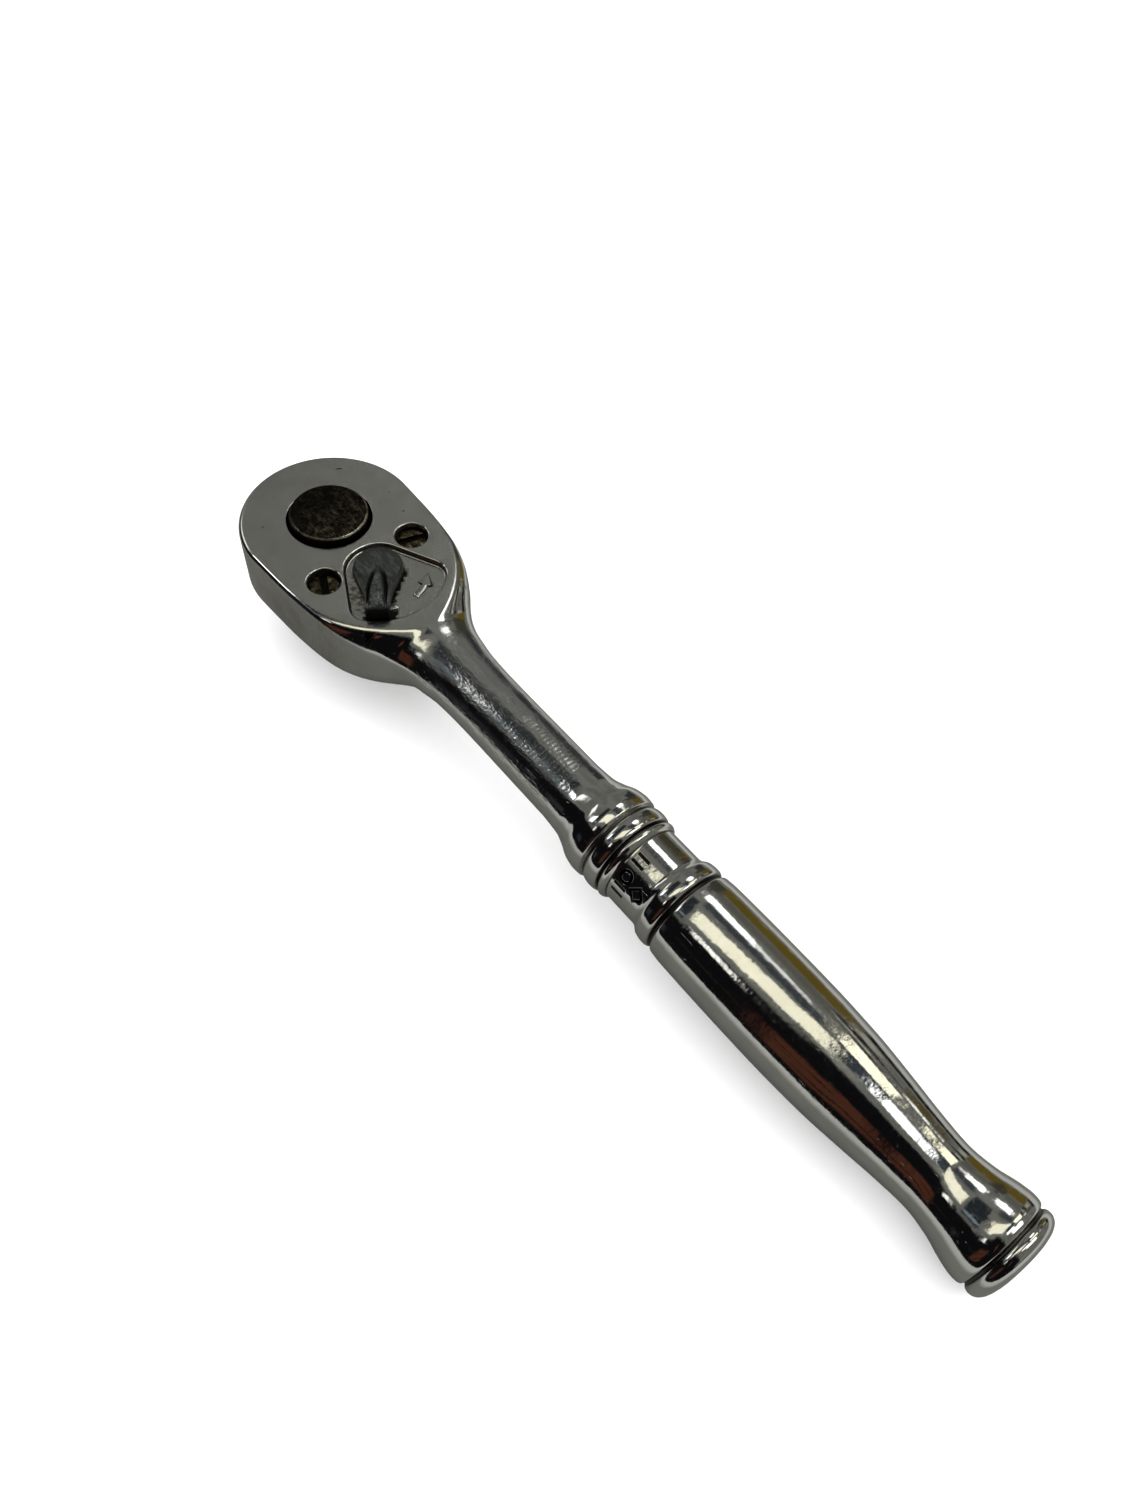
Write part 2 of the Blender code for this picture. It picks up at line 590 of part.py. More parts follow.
def pawl_bore_outline():
    """Bore that turns on the selector's shaft, opened behind it into two hollows for the ball."""
    bore, crest, hollow = SHAFT_RADIUS + 0.12, 2.34, 0.16
    half_angle, rest = 58, 28
    points = []
    for i in range(25):
        angle = -half_angle + 2 * half_angle * i / 24
        radius = crest + hollow * math.sin(math.radians(90 * angle / rest)) ** 2
        points += arc(PIVOT_X, 0, radius, angle, angle, 1)[:1]
    return points + arc(PIVOT_X, 0, bore, half_angle, 360 - half_angle, 24)


def make_pawl(finish):
    """Double-ended pawl: a blank cut by the gear's own outline at both ends of its swing."""
    pivot = axis_empty("pawl_axis", PIVOT_X, 0, MIDDLE)
    frame = (-PIVOT_X, 0, -MIDDLE)
    nose = PIVOT_X - 4.1
    blank = [(nose, PAWL_HALF), (nose, -PAWL_HALF)] + arc(PIVOT_X, 0, PAWL_HALF, -90, 90, 18)
    options = {"origin": frame, "parent": pivot}
    pawl = prism("pawl", turned(blank, -PAWL_SWING, PIVOT_X, 0), PAWL_BOTTOM, PAWL_TOP, finish=finish, **options)
    rest_teeth = gear_outline(MESH_GAP)
    other_teeth = turned(rest_teeth, -2 * PAWL_SWING, PIVOT_X, 0)
    bore = turned(pawl_bore_outline(), -PAWL_SWING, PIVOT_X, 0)
    relief = [(0, 0)] + arc(0, 0, TOOTH_TIP + 2 * MESH_GAP, -15, 15, 6)
    relief = turned(relief, -PAWL_SWING, PIVOT_X, 0)
    cuts = {"rest_teeth": rest_teeth, "other_teeth": other_teeth, "pawl_relief": relief, "pawl_bore": bore}
    for name, outline in cuts.items():
        cutter = prism(f"cut_{name}", outline, PAWL_BOTTOM - 1, PAWL_TOP + 1, helper=True, **options)
        combine(pawl, cutter, "DIFFERENCE")


def main():
    clear_scene()
    chrome = material("polished_chrome", (0.62, 0.62, 0.6), 0.12, 1.0)
    plate_steel = material("plate_steel", (0.5, 0.5, 0.48), 0.3, 1.0)
    screw_steel = material("screw_steel", (0.25, 0.22, 0.17), 0.42, 1.0)
    gear_steel = material("gear_steel", (0.13, 0.12, 0.1), 0.5, 1.0)
    black_oxide = material("black_oxide", (0.07, 0.078, 0.078), 0.45, 0.8)
    hard_steel = material("hard_steel", (0.4, 0.4, 0.4), 0.25, 1.0)
    spring_steel = material("spring_steel", (0.3, 0.3, 0.32), 0.35, 1.0)

    make_body(chrome)
    make_cover_plate(plate_steel)
    make_screw("left", -1, screw_steel)
    make_screw("right", 1, screw_steel)
    make_drive(gear_steel, hard_steel, spring_steel)
    make_selector(black_oxide, spring_steel, hard_steel, spring_steel)
    make_pawl(hard_steel)


main()
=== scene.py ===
"""Finished look of the reversible ratchet wrench: its chromed forging and thumb lever in full detail, the wear
on every piece, the shade and the lever's shadow painted into their colours, the table it lies on and the room
that its chrome mirrors.

Lengths are millimetres in the part's frame (origin at the centre of the square drive's end face, +Z up the
drive axis, +X along the handle) until mesh_from() turns them into metres. Heights inside the head are
measured from its middle plane, which is also the handle's axis.
"""
import math

import bmesh
import bpy
from mathutils import Matrix, Vector


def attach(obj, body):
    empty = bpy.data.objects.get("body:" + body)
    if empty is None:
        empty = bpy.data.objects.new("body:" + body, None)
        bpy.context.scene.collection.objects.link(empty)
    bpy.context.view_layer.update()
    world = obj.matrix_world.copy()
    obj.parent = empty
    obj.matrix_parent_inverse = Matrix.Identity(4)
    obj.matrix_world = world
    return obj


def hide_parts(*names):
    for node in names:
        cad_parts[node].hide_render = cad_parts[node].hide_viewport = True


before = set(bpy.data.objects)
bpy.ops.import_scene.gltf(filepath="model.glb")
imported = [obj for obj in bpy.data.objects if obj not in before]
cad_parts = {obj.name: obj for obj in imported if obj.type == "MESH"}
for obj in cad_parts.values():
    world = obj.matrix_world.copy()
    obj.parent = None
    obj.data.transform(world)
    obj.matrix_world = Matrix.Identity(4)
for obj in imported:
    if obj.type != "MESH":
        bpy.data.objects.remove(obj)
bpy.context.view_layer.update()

MM = 0.001

# The forging: head, neck and handle
HEAD_RADIUS = 10.45
HEAD_HALF = 3.85
EDGE_ROUND = 0.58        # height of the head's rounded edges
EDGE_WIDTH = 0.6
SIDE_OUTLINE = [(0, 10.45), (6, 10.18), (10.4, 9.7), (14.3, 8.8), (17.5, 7.25), (19.2, 6.05), (21, 5.1),
                (22.6, 4.62), (24.2, 4.38), (26, 4.1), (30, 3.9), (34, 3.86), (44.5, 3.86)]
FLAT_OUTLINE = [(0, 9.85), (6, 9.57), (10.4, 8.97), (13.5, 7.8), (16, 6.05), (18, 3.85), (19.3, 1.85),
                (20.3, 0)]
CREST = [(20, HEAD_HALF), (21, 3.8), (22.5, 3.65), (24, 3.57), (27, 3.54), (34, 3.68), (44.5, 3.86)]
CORNER_HEIGHT = [(0, EDGE_ROUND), (11, 0.62), (13, 0.95), (15.5, 1.8), (18, 2.8), (21, 3.5), (24, HEAD_HALF)]
ROUNDING_SHARE = [(12, 0), (20, 0.7), (25, 1)]
UNDERSIDE_LAG = 2.2
OGEE = [(44.5, 3.86), (46.8, 4.05), (48.4, 4.55), (49.6, 5.05), (50.8, 5.22), (51.7, 5.14)]
RING_RADIUS = 5.15
COLLAR = (55.35, 59.3, 4.54)
GRIP = [(62.4, 5.12), (64, 5.25), (70, 5.3), (76, 5.26), (82, 5.03), (87, 4.54), (91, 4.08), (94, 3.87),
        (96.6, 4.18), (98.6, 4.72), (100.2, 4.97), (100.9, 4.86)]
CAP = [(101.05, 4.5), (101.25, 4.5), (101.4, 4.74), (101.75, 4.86), (102.2, 4.8), (102.6, 4.5), (102.9, 3.95),
       (103.05, 3.3)]
GROOVES = [(52.05, 0.12), (54.22, 0.1), (55.3, 0.04), (62.0, 0.2), (101.15, 0.14)]  # middle, half width

# Openings in the head
HUB_BORE = 4.95
POCKET_RADIUS, POCKET_TOP = 7.6, 2.2
PAWL_ROOM, PAWL_ROOM_X = 3.95, 9.9
PLATE_NOSE, PLATE_CORNER, PLATE_SEAT = 8.95, (12.2, 4.2, 3.2), 1.37
SCREW_X, SCREW_Y = 8.0, 5.95
SCREW_BORE, SCREW_HOLE, SCREW_FLOOR = 1.9, 1.1, 2.35
PIVOT_X = 10.0
RECESS_APEX, RECESS_FAN, RECESS_SPREAD, RECESS_CORNER, RECESS_DEPTH = 3.8, 7.65, 27.0, 2.0, 0.65
RECESS_RIM, RECESS_FILLET = 0.28, 0.2
RIM_ROUND = 0.2          # rounding of the screw bores' rims on the head's face
ARROW_RADIUS, ARROW_FROM, ARROW_TO, ARROW_HEIGHT = 5.6, 12, 52, 0.2
ARROW_HALF, ARROW_HEAD, ARROW_BARB, ARROW_SLOPE = 0.4, 1.7, 0.95, 0.34

# Lever
LEVER_REST = -35.0
LEVER_REACH = 7.15
LEVER_DISC = 2.8
LEVER_PLAN = [(0, LEVER_DISC), (1.3, 2.4), (2.6, 1.94), (3.9, 1.52), (5.3, 1.3), (LEVER_REACH, 1.22)]
LEVER_SPINE = [(-LEVER_DISC, 0.48), (-1.6, 0.68), (0.6, 0.92), (3.6, 1.75), (6.1, 2.45), (6.7, 2.4),
               (LEVER_REACH, 2.05)]
FLUTE_DEPTH = [(-1.4, 0), (0.4, 0.22), (2.0, 1), (5.8, 0.95), (LEVER_REACH, 0.6)]
FLUTE_TRACK = [(0.2, 0.1), (1.5, 0.24), (3, 0.43), (4.6, 0.66), (6, 0.74), (LEVER_REACH, 0.76)]
SHAFT_RADIUS, SHAFT_BOTTOM = 1.45, -2.4
CLIP_GROOVE = (1.6, 2.1)
BALL_BORE, BALL_LEVEL, BALL_BORE_ENDS = 0.76, -0.475, (-0.95, 1.65)

# Marks: nicks on the head as (from, to, half width); stamps as (along the handle, round the collar, shape)
TOP = 15.55
NICKS = [((-6.3, 5.1, TOP), (-6.0, 5.6, TOP), 0.07), ((-6.8, -3.4, TOP), (-6.75, -3.4, TOP), 0.09),
         ((-3.2, -7.0, TOP), (-3.15, -7.0, TOP), 0.09), ((0.6, 7.9, TOP), (0.65, 7.9, TOP), 0.06),
         ((-2.6, -10.15, 9.0), (-2.3, -10.3, 10.6), 0.05), ((-2.3, -10.3, 10.6), (-2.0, -10.3, 10.9), 0.05),
         ((5.4, -9.8, 10.7), (5.5, -9.8, 10.8), 0.07)]
STAMPS = [(56.5, -1.7, "bars"), (56.5, -3.8, "ring"), (56.5, -5.5, "bars"), (58.4, -4.4, "diamond")]
SWIRL_CENTRE = (6.0, -9.6, 11.0)
# Oily near-black of the stamped marks and nicks, used also for painted shade and the lever's painted shadow
GREASE_AND_SHADE = (0.008, 0.007, 0.005)

# Fineness of the meshes
CORNER_STEPS = 20        # points on each rounded corner of a half section
FRONT_STEPS = 60         # half sections on a quarter of the head's round end
NECK_STEP = 0.45

# Place above the drive's end face, and how the tool leans on the square drive's edge and on its end cap
MIDDLE = 11.7
FLOOR_TILT = math.atan2(6.84, 98.96)
FLOOR_CONTACT = (2.79, 0.0, 0.0)

CAMERA_PLACE = (89.737, -45.492, 113.726)
CAMERA_TARGET = (34.187, 8.085, 0.0)
CAMERA_ROLL = 5.363      # degrees
CAMERA_LENS = 27.885


# Outlines and curves ----------------------------------------------------------------------------------------


def smooth_curve(knots, x):
    """Height at x of a smooth curve through the knots, with no overshoot between them."""
    if x <= knots[0][0]:
        return float(knots[0][1])
    if x >= knots[-1][0]:
        return float(knots[-1][1])
    slopes = [(b2 - b1) / (a2 - a1) for (a1, b1), (a2, b2) in zip(knots, knots[1:])]
    tangents = [slopes[0]]
    for left, right in zip(slopes, slopes[1:]):
        tangents.append(0.0 if left * right <= 0 else 2 * left * right / (left + right))
    tangents.append(slopes[-1])
    i = max(k for k in range(len(slopes)) if knots[k][0] <= x)
    (a1, b1), (a2, b2) = knots[i], knots[i + 1]
    width = a2 - a1
    t = (x - a1) / width
    rise = b1 * (2 * t**3 - 3 * t**2 + 1) + b2 * (3 * t**2 - 2 * t**3)
    return rise + width * (tangents[i] * (t**3 - 2 * t**2 + t) + tangents[i + 1] * (t**3 - t**2))


def spread(start, end, steps):
    return [start + (end - start) * i / steps for i in range(steps + 1)]


def arc(x, y, radius, start, end, steps):
    """Points on a circle from angle start to angle end, in degrees, both ends included."""
    turn = [math.radians(a) for a in spread(start, end, steps)]
    return [(x + radius * math.cos(a), y + radius * math.sin(a)) for a in turn]


def circle(x, y, radius, steps=72):
    return arc(x, y, radius, 0, 360, steps)[:-1]


def turned(points, degrees, x=0.0, y=0.0):
    """Plan points turned about (x, y)."""
    c, s = math.cos(math.radians(degrees)), math.sin(math.radians(degrees))
    return [(x + (px - x) * c - (py - y) * s, y + (px - x) * s + (py - y) * c) for px, py in points]


def softened(points, rounds=2):
    """An open polyline with its corners cut, so that it runs smoothly through them."""
    for _ in range(rounds):
        cut = [points[0]]
        for (ax, ay), (bx, by) in zip(points, points[1:]):
            cut.append((0.75 * ax + 0.25 * bx, 0.75 * ay + 0.25 * by))
            cut.append((0.25 * ax + 0.75 * bx, 0.25 * ay + 0.75 * by))
        points = cut + [points[-1]]
    return points


# Meshes -----------------------------------------------------------------------------------------------------


def mesh_from(name, points, faces):
    """An object from points in millimetres in the part's frame."""
    mesh = bpy.data.meshes.new(name)
    shape = bmesh.new()
    corners = [shape.verts.new(Vector(p) * MM) for p in points]
    for face in faces:
        shape.faces.new([corners[i] for i in face])
    bmesh.ops.remove_doubles(shape, verts=shape.verts, dist=1e-7)
    bmesh.ops.dissolve_degenerate(shape, edges=shape.edges, dist=1e-7)
    bmesh.ops.recalc_face_normals(shape, faces=shape.faces)
    shape.to_mesh(mesh)
    shape.free()
    obj = bpy.data.objects.new(name, mesh)
    bpy.context.scene.collection.objects.link(obj)
    return obj


def tower(name, levels):
    """A solid through plan outlines of equal length, given as (outline, height above the middle plane)."""
    count = len(levels[0][0])
    points = [(x, y, MIDDLE + z) for outline, z in levels for x, y in outline]
    faces = [list(range(count))[::-1], list(range(len(points) - count, len(points)))]
    for ring in range(0, len(points) - count, count):
        for i in range(count):
            j = (i + 1) % count
            faces.append([ring + i, ring + j, ring + count + j, ring + count + i])
    return mesh_from(name, points, faces)


def lathe_levels(profile, x, y, steps=72):
    return [(circle(x, y, radius, steps), z) for radius, z in profile]


def combine(obj, others, operation):
    """Adds the others to obj, or takes them out of it, in one step and leaves plain mesh data behind."""
    group = bpy.data.collections.new("others")
    for other in others:
        group.objects.link(other)
    modifier = obj.modifiers.new("combine", "BOOLEAN")
    modifier.operand_type = "COLLECTION"
    modifier.collection = group
    modifier.operation = operation
    modifier.solver = "EXACT"
    bpy.context.view_layer.update()
    made = bpy.data.meshes.new_from_object(obj.evaluated_get(bpy.context.evaluated_depsgraph_get()))
    obj.modifiers.clear()
    obj.data = made
    for other in others:
        bpy.data.objects.remove(other)
    bpy.data.collections.remove(group)


def shade(obj, angle=38):
    """Smooth shading that keeps flat faces flat right up to their rounded edges."""
    obj.data.shade_smooth()
    obj.data.set_sharp_from_angle(angle=math.radians(angle))
    obj.modifiers.new("even_normals", "WEIGHTED_NORMAL").keep_sharp = True


# The forged body --------------------------------------------------------------------------------------------


def corner_points(width, flat, corner, roundness, crest=HEAD_HALF):
    """A rounded corner of a section, from the flat face down to the side, as (out, up) pairs."""
    even = 180.0 / (2 * CORNER_STEPS + 1)
    points = []
    for i in range(1, CORNER_STEPS + 1):
        boxed = 90.0 * (CORNER_STEPS - i) / (CORNER_STEPS - 1)
        angle = math.radians(boxed + (90.0 - i * even - boxed) * roundness)
        height = corner * crest / HEAD_HALF
        points.append((flat + (width - flat) * math.cos(angle), crest - height + height * math.sin(angle)))
    return points


def half_section(upper, lower):
    """Half of a cross-section, from its top centre round the side to its bottom centre."""
    return [(0.0, upper[0][1])] + upper + [(out, -up) for out, up in reversed(lower)] + [(0.0, -lower[0][1])]


def neck_corner(x, shape_x):
    """The corner at x, as wide as the neck there and as square as it is at shape_x."""
    return corner_points(smooth_curve(SIDE_OUTLINE, x), smooth_curve(FLAT_OUTLINE, shape_x),
                         smooth_curve(CORNER_HEIGHT, shape_x), smooth_curve(ROUNDING_SHARE, shape_x),
                         smooth_curve(CREST, shape_x))


def round_section(radius):
    even = math.pi / (2 * CORNER_STEPS + 1)
    angles = [math.pi / 2 - i * even for i in range(2 * CORNER_STEPS + 2)]
    return [(radius * math.cos(a), radius * math.sin(a)) for a in angles]


def bead(start, end, foot, crown, steps=10):
    """Points (x, radius) over a raised ring."""
    middle, half = (start + end) / 2, (end - start) / 2
    angles = [math.pi * i / steps for i in range(steps + 1)]
    return [(middle - half * math.cos(a), foot + (crown - foot) * math.sin(a) ** 0.7) for a in angles]


def curve_points(knots, steps):
    return [(x, smooth_curve(knots, x)) for x in spread(knots[0][0], knots[-1][0], steps)]


def handle_profile():
    """(x, radius) from the end of the neck to the end face: rings, collar, grip and cap."""
    start, end, collar = COLLAR
    points = curve_points(OGEE, 24)[1:]
    points += [(51.85, 4.8), (52.05, 4.7), (52.2, 4.8)]
    points += bead(52.25, 54.05, 4.82, RING_RADIUS)
    points += [(54.15, 4.5), (54.3, 4.5), (54.42, 4.94), (54.65, 5.02), (54.95, 4.93), (start - 0.15, 4.62),
               (start, collar)]
    points += [(start + 0.3, collar), (end - 0.3, collar)]
    points += curve_points([(end, collar), (end + 0.35, 4.68), (end + 0.9, 5.04), (60.9, RING_RADIUS)], 8)
    points += [(61.4, RING_RADIUS), (61.7, 5.04), (61.85, 4.7), (62.0, 4.5), (62.15, 4.6), (62.3, 5.0)]
    points += curve_points(GRIP, 64)
    return softened(points + CAP)


def body_sections():
    """The half sections of one side, from the front of the head to the handle's end."""
    corner = corner_points(HEAD_RADIUS, HEAD_RADIUS - EDGE_WIDTH, EDGE_ROUND, 0.0)
    front = half_section(corner, corner)
    sections = []
    for angle in spread(math.pi, math.pi / 2, FRONT_STEPS)[:-1]:
        sections.append([(out * math.cos(angle), out * math.sin(angle), up) for out, up in front])
    for x in spread(0.0, OGEE[0][0], round(OGEE[0][0] / NECK_STEP)):
        points = half_section(neck_corner(x, x), neck_corner(x, x - UNDERSIDE_LAG))
        sections.append([(x, out, up) for out, up in points])
    for x, radius in handle_profile():
        sections.append([(x, out, up) for out, up in round_section(radius)])
    return sections


def body_blank():
    """The forging's outer skin: half sections joined along one side and, mirrored, along the other."""
    near = body_sections()
    far = [[(x, -y, z) for x, y, z in section] for section in near]
    columns = far[::-1] + near[1:]
    count = len(near[0])
    points = [(x, y, MIDDLE + z) for section in columns for x, y, z in section]
    faces = []
    for first in range(0, (len(columns) - 1) * count, count):
        for a in range(first, first + count - 1):
            faces.append([a, a + 1, a + count + 1, a + count])
    last = (len(columns) - 1) * count
    faces.append([last + i for i in range(count)] + [i for i in range(count - 2, 0, -1)])
    return mesh_from("chromed_body", points, faces)


def pocket_outline():
    """Plan of the space for the gear and, behind it, the pawl."""
    meet = math.degrees(math.asin(PAWL_ROOM / POCKET_RADIUS))
    return arc(0, 0, POCKET_RADIUS, meet, 360 - meet, 60) + arc(PAWL_ROOM_X, 0, PAWL_ROOM, -90, 90, 20)


def plate_outline():
    """Plan of the cover plate's seat."""
    x, y, radius = PLATE_CORNER
    lean = math.degrees(math.atan2(y, x) + math.acos((PLATE_NOSE - radius) / math.hypot(x, y)))
    upper = arc(x, y, radius, 0, lean, 12)
    lower = [(px, -py) for px, py in reversed(upper)]
    return upper + arc(0, 0, PLATE_NOSE, lean, 360 - lean, 61) + lower


def recess_outline(grow=0.0):
    """Fan-shaped recess that the lever swings in, grown by the given amount all round."""
    reach, inner = RECESS_FAN - RECESS_CORNER, RECESS_APEX - RECESS_CORNER
    along = math.sqrt(reach**2 - inner**2)
    lean = math.radians(RECESS_SPREAD)
    cx = along * math.cos(lean) - inner * math.sin(lean)
    cy = along * math.sin(lean) + inner * math.cos(lean)
    corner_at = math.degrees(math.atan2(cy, cx))
    far = arc(PIVOT_X, 0, RECESS_FAN + grow, -corner_at, corner_at, 48)
    corner = arc(PIVOT_X + cx, cy, RECESS_CORNER + grow, corner_at, 90 + RECESS_SPREAD, 18)
    apex = arc(PIVOT_X, 0, RECESS_APEX + grow, 90 + RECESS_SPREAD, 270 - RECESS_SPREAD, 40)
    mirrored = [(x, -y) for x, y in reversed(corner)]
    return far[:-1] + corner + apex + mirrored[:-1]


def rim(outline_at, bottom, rounding=RIM_ROUND, fillet=0.0):
    """Levels of a cutter whose mouth is rounded onto the head's face and whose floor can have a fillet."""
    levels = []
    if fillet:
        for a in spread(0, math.pi / 2, 4):
            levels.append((outline_at(-fillet * (1 - math.sin(a))), bottom + fillet * (1 - math.cos(a))))
    else:
        levels.append((outline_at(0.0), bottom))
    for a in spread(0, math.pi / 2, 6):
        levels.append((outline_at(rounding * (1 - math.cos(a))), HEAD_HALF - rounding * (1 - math.sin(a))))
    return levels + [(outline_at(rounding), HEAD_HALF + 2)]


def arrow_outline(radius, start, end, half, head, barb):
    """A curved arrow about the pivot, pointing from angle start to angle end."""
    stop = end - math.copysign(math.degrees(head / radius), end - start)
    outer = arc(PIVOT_X, 0, radius + half, start, stop, 16)
    inner = arc(PIVOT_X, 0, radius - half, stop, start, 16)
    barbs = [arc(PIVOT_X, 0, r, stop, stop, 1)[0] for r in (radius + barb, radius - barb)]
    point = arc(PIVOT_X, 0, radius, end, end, 1)[:1]
    return outer + [barbs[0]] + point + [barbs[1]] + inner


def quarter_turn(inward, upward, steps):
    """Steps (inset, height) up a rounded edge, from its foot to its top."""
    turns = spread(0, math.pi / 2, steps)
    return [(inward * (1 - math.cos(a)), upward * math.sin(a) + 0.01) for a in turns]


def raised_arrow(side):
    """A low raised arrow on the floor of the recess, one for each way the lever turns."""
    floor = HEAD_HALF - RECESS_DEPTH
    levels = []
    for inset, height in [(0.0, -0.1)] + quarter_turn(ARROW_SLOPE, ARROW_HEIGHT, 5):
        ends = [side * (ARROW_FROM + 14 * inset), side * (ARROW_TO - 22 * inset)]
        outline = arrow_outline(ARROW_RADIUS, *ends, ARROW_HALF - inset, ARROW_HEAD - 1.4 * inset,
                                ARROW_BARB - 1.9 * inset)
        levels.append((outline, floor + height))
    return tower("arrow", levels)


def recess_cutter():
    """The recess's space, with the arrows already left standing on its floor."""
    cutter = tower("recess", rim(recess_outline, HEAD_HALF - RECESS_DEPTH, RECESS_RIM, RECESS_FILLET))
    combine(cutter, [raised_arrow(1), raised_arrow(-1)], "DIFFERENCE")
    return cutter


def body_cutters():
    """Everything that is cut out of the forging, as solids."""
    back = -HEAD_HALF
    seat = plate_outline()
    shaft_gap = SHAFT_RADIUS + 0.1
    cutters = [
        tower("pocket", [(pocket_outline(), back - 1), (pocket_outline(), POCKET_TOP)]),
        tower("plate_seat", [(seat, back - 2), (seat, back + PLATE_SEAT)]),
        tower("hub_bore", rim(lambda g: circle(0, 0, HUB_BORE + g, 120), 0, 0.1)),
        recess_cutter(),
        tower("shaft_hole", lathe_levels([(shaft_gap, 0), (shaft_gap, HEAD_HALF + 1)], PIVOT_X, 0)),
    ]
    for side in (1, -1):
        y = side * SCREW_Y
        hole = [(SCREW_HOLE, back), (SCREW_HOLE, HEAD_HALF - 1)]
        cutters.append(tower("screw_hole", lathe_levels(hole, SCREW_X, y, 32)))
        cutters.append(tower("screw_bore", rim(lambda g: circle(SCREW_X, y, SCREW_BORE + g), SCREW_FLOOR)))
    return cutters


def make_body():
    body = body_blank()
    combine(body, body_cutters(), "DIFFERENCE")
    shade(body)
    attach(body, "body")
    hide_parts("ratchet_body")
    return body


# The thumb lever --------------------------------------------------------------------------------------------


def lever_half_width(out):
    """Half width of the lever at a distance `out` from its pivot, along it."""
    if out <= 0:
        return math.sqrt(max(LEVER_DISC**2 - out**2, 0.04))
    return smooth_curve(LEVER_PLAN, out)


def lever_height(out, share):
    """Height of the lever's top above the middle plane. share runs from -1 to 1 across it."""
    aside = abs(share)
    half = lever_half_width(out)
    fluting = smooth_curve(FLUTE_DEPTH, out)
    track = smooth_curve(FLUTE_TRACK, out)
    groove = 0.85 * fluting * math.exp(-((aside - track) * half / 0.2) ** 2)
    lip = 0.16 * fluting * math.exp(-((aside - 0.88) * half / 0.16) ** 2)
    wing = 0.44 * fluting * smooth_curve([(track - 0.02, 0), (track + 0.14, 1), (1, 1.1)], aside) - lip
    edge = 0.45 * (1 - math.sqrt(max(1 - (max(aside - 0.88, 0) / 0.12) ** 2, 0)))
    return HEAD_HALF + smooth_curve(LEVER_SPINE, out) - groove - wing - edge


def lever_grid():
    """Cross-sections along the lever: a fluted top, then straight sides down to the recess floor."""
    across = [math.sin(a) for a in spread(-math.pi / 2, math.pi / 2, 56)]
    along = spread(-LEVER_DISC + 0.007, -2.2, 6) + spread(-2.1, LEVER_REACH, 64)
    points, faces = [], []
    for out in along:
        half = lever_half_width(out)
        floor = HEAD_HALF - RECESS_DEPTH + smooth_curve([(4.1, 0.1), (4.6, ARROW_HEIGHT + 0.12)], out)
        top = [(PIVOT_X + out, half * s, MIDDLE + lever_height(out, s)) for s in across]
        foot = 0.06 if out < LEVER_REACH - 0.01 else 0.0
        low = [(x, y * (1 + foot), MIDDLE + floor + z) for x, y, _ in (top[-1], top[0]) for z in (0.25, 0)]
        points += top + low[:2] + low[:1:-1]
    count = len(across) + 4
    for first in range(0, (len(along) - 1) * count, count):
        for i in range(count):
            j = (i + 1) % count
            faces.append([first + i, first + j, first + count + j, first + count + i])
    faces += [list(range(count)), [(len(along) - 1) * count + i for i in range(count)]]
    placed = turned([(x, y) for x, y, z in points], LEVER_REST, PIVOT_X, 0)
    return [(x, y, z) for (x, y), (_, _, z) in zip(placed, points)], faces


def lever_shaft():
    """The shaft under the lever, with the clip's groove and the bore for the ball and its spring."""
    low, high = CLIP_GROOVE
    neck = SHAFT_RADIUS - 0.3
    profile = [(SHAFT_RADIUS - 0.15, SHAFT_BOTTOM), (SHAFT_RADIUS, SHAFT_BOTTOM + 0.15), (SHAFT_RADIUS, low),
               (neck, low), (neck, high), (SHAFT_RADIUS, high), (SHAFT_RADIUS, HEAD_HALF - 0.4)]
    shaft = tower("shaft", lathe_levels(profile, PIVOT_X, 0, 48))
    bore = tower("ball_bore", [(circle(0, 0, BALL_BORE, 24), end - MIDDLE) for end in BALL_BORE_ENDS])
    lie_down = Matrix.Rotation(math.radians(LEVER_REST), 4, "Z") @ Matrix.Rotation(math.radians(90), 4, "Y")
    bore.matrix_world = Matrix.Translation(Vector((PIVOT_X, 0, MIDDLE + BALL_LEVEL)) * MM) @ lie_down
    combine(shaft, [bore], "DIFFERENCE")
    return shaft


def make_lever():
    lever = mesh_from("thumb_lever", *lever_grid())
    combine(lever, [lever_shaft()], "UNION")
    shade(lever, 50)
    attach(lever, "selector")
    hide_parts("selector_lever")
    return lever


# Pieces carried over from the CAD ---------------------------------------------------------------------------


def refine(node, bevel):
    """Modifiers that merge a CAD piece's seams and flats, round its edges slightly and shade it smoothly."""
    mesh = node.data
    if "custom_normal" in mesh.attributes:
        mesh.attributes.remove(mesh.attributes["custom_normal"])
    mesh.shade_smooth()
    weld = node.modifiers.new("merge_seams", "WELD")
    weld.merge_threshold = 2e-6
    tidy = node.modifiers.new("merge_flats", "DECIMATE")
    tidy.decimate_type = "DISSOLVE"
    tidy.angle_limit = math.radians(0.4)
    if bevel:
        edges = node.modifiers.new("round_edges", "BEVEL")
        edges.width = bevel * MM
        edges.segments = 2
        edges.limit_method = "ANGLE"
        edges.angle_limit = math.radians(30)
    node.modifiers.new("even_normals", "WEIGHTED_NORMAL")


# Node graphs ------------------------------------------------------------------------------------------------


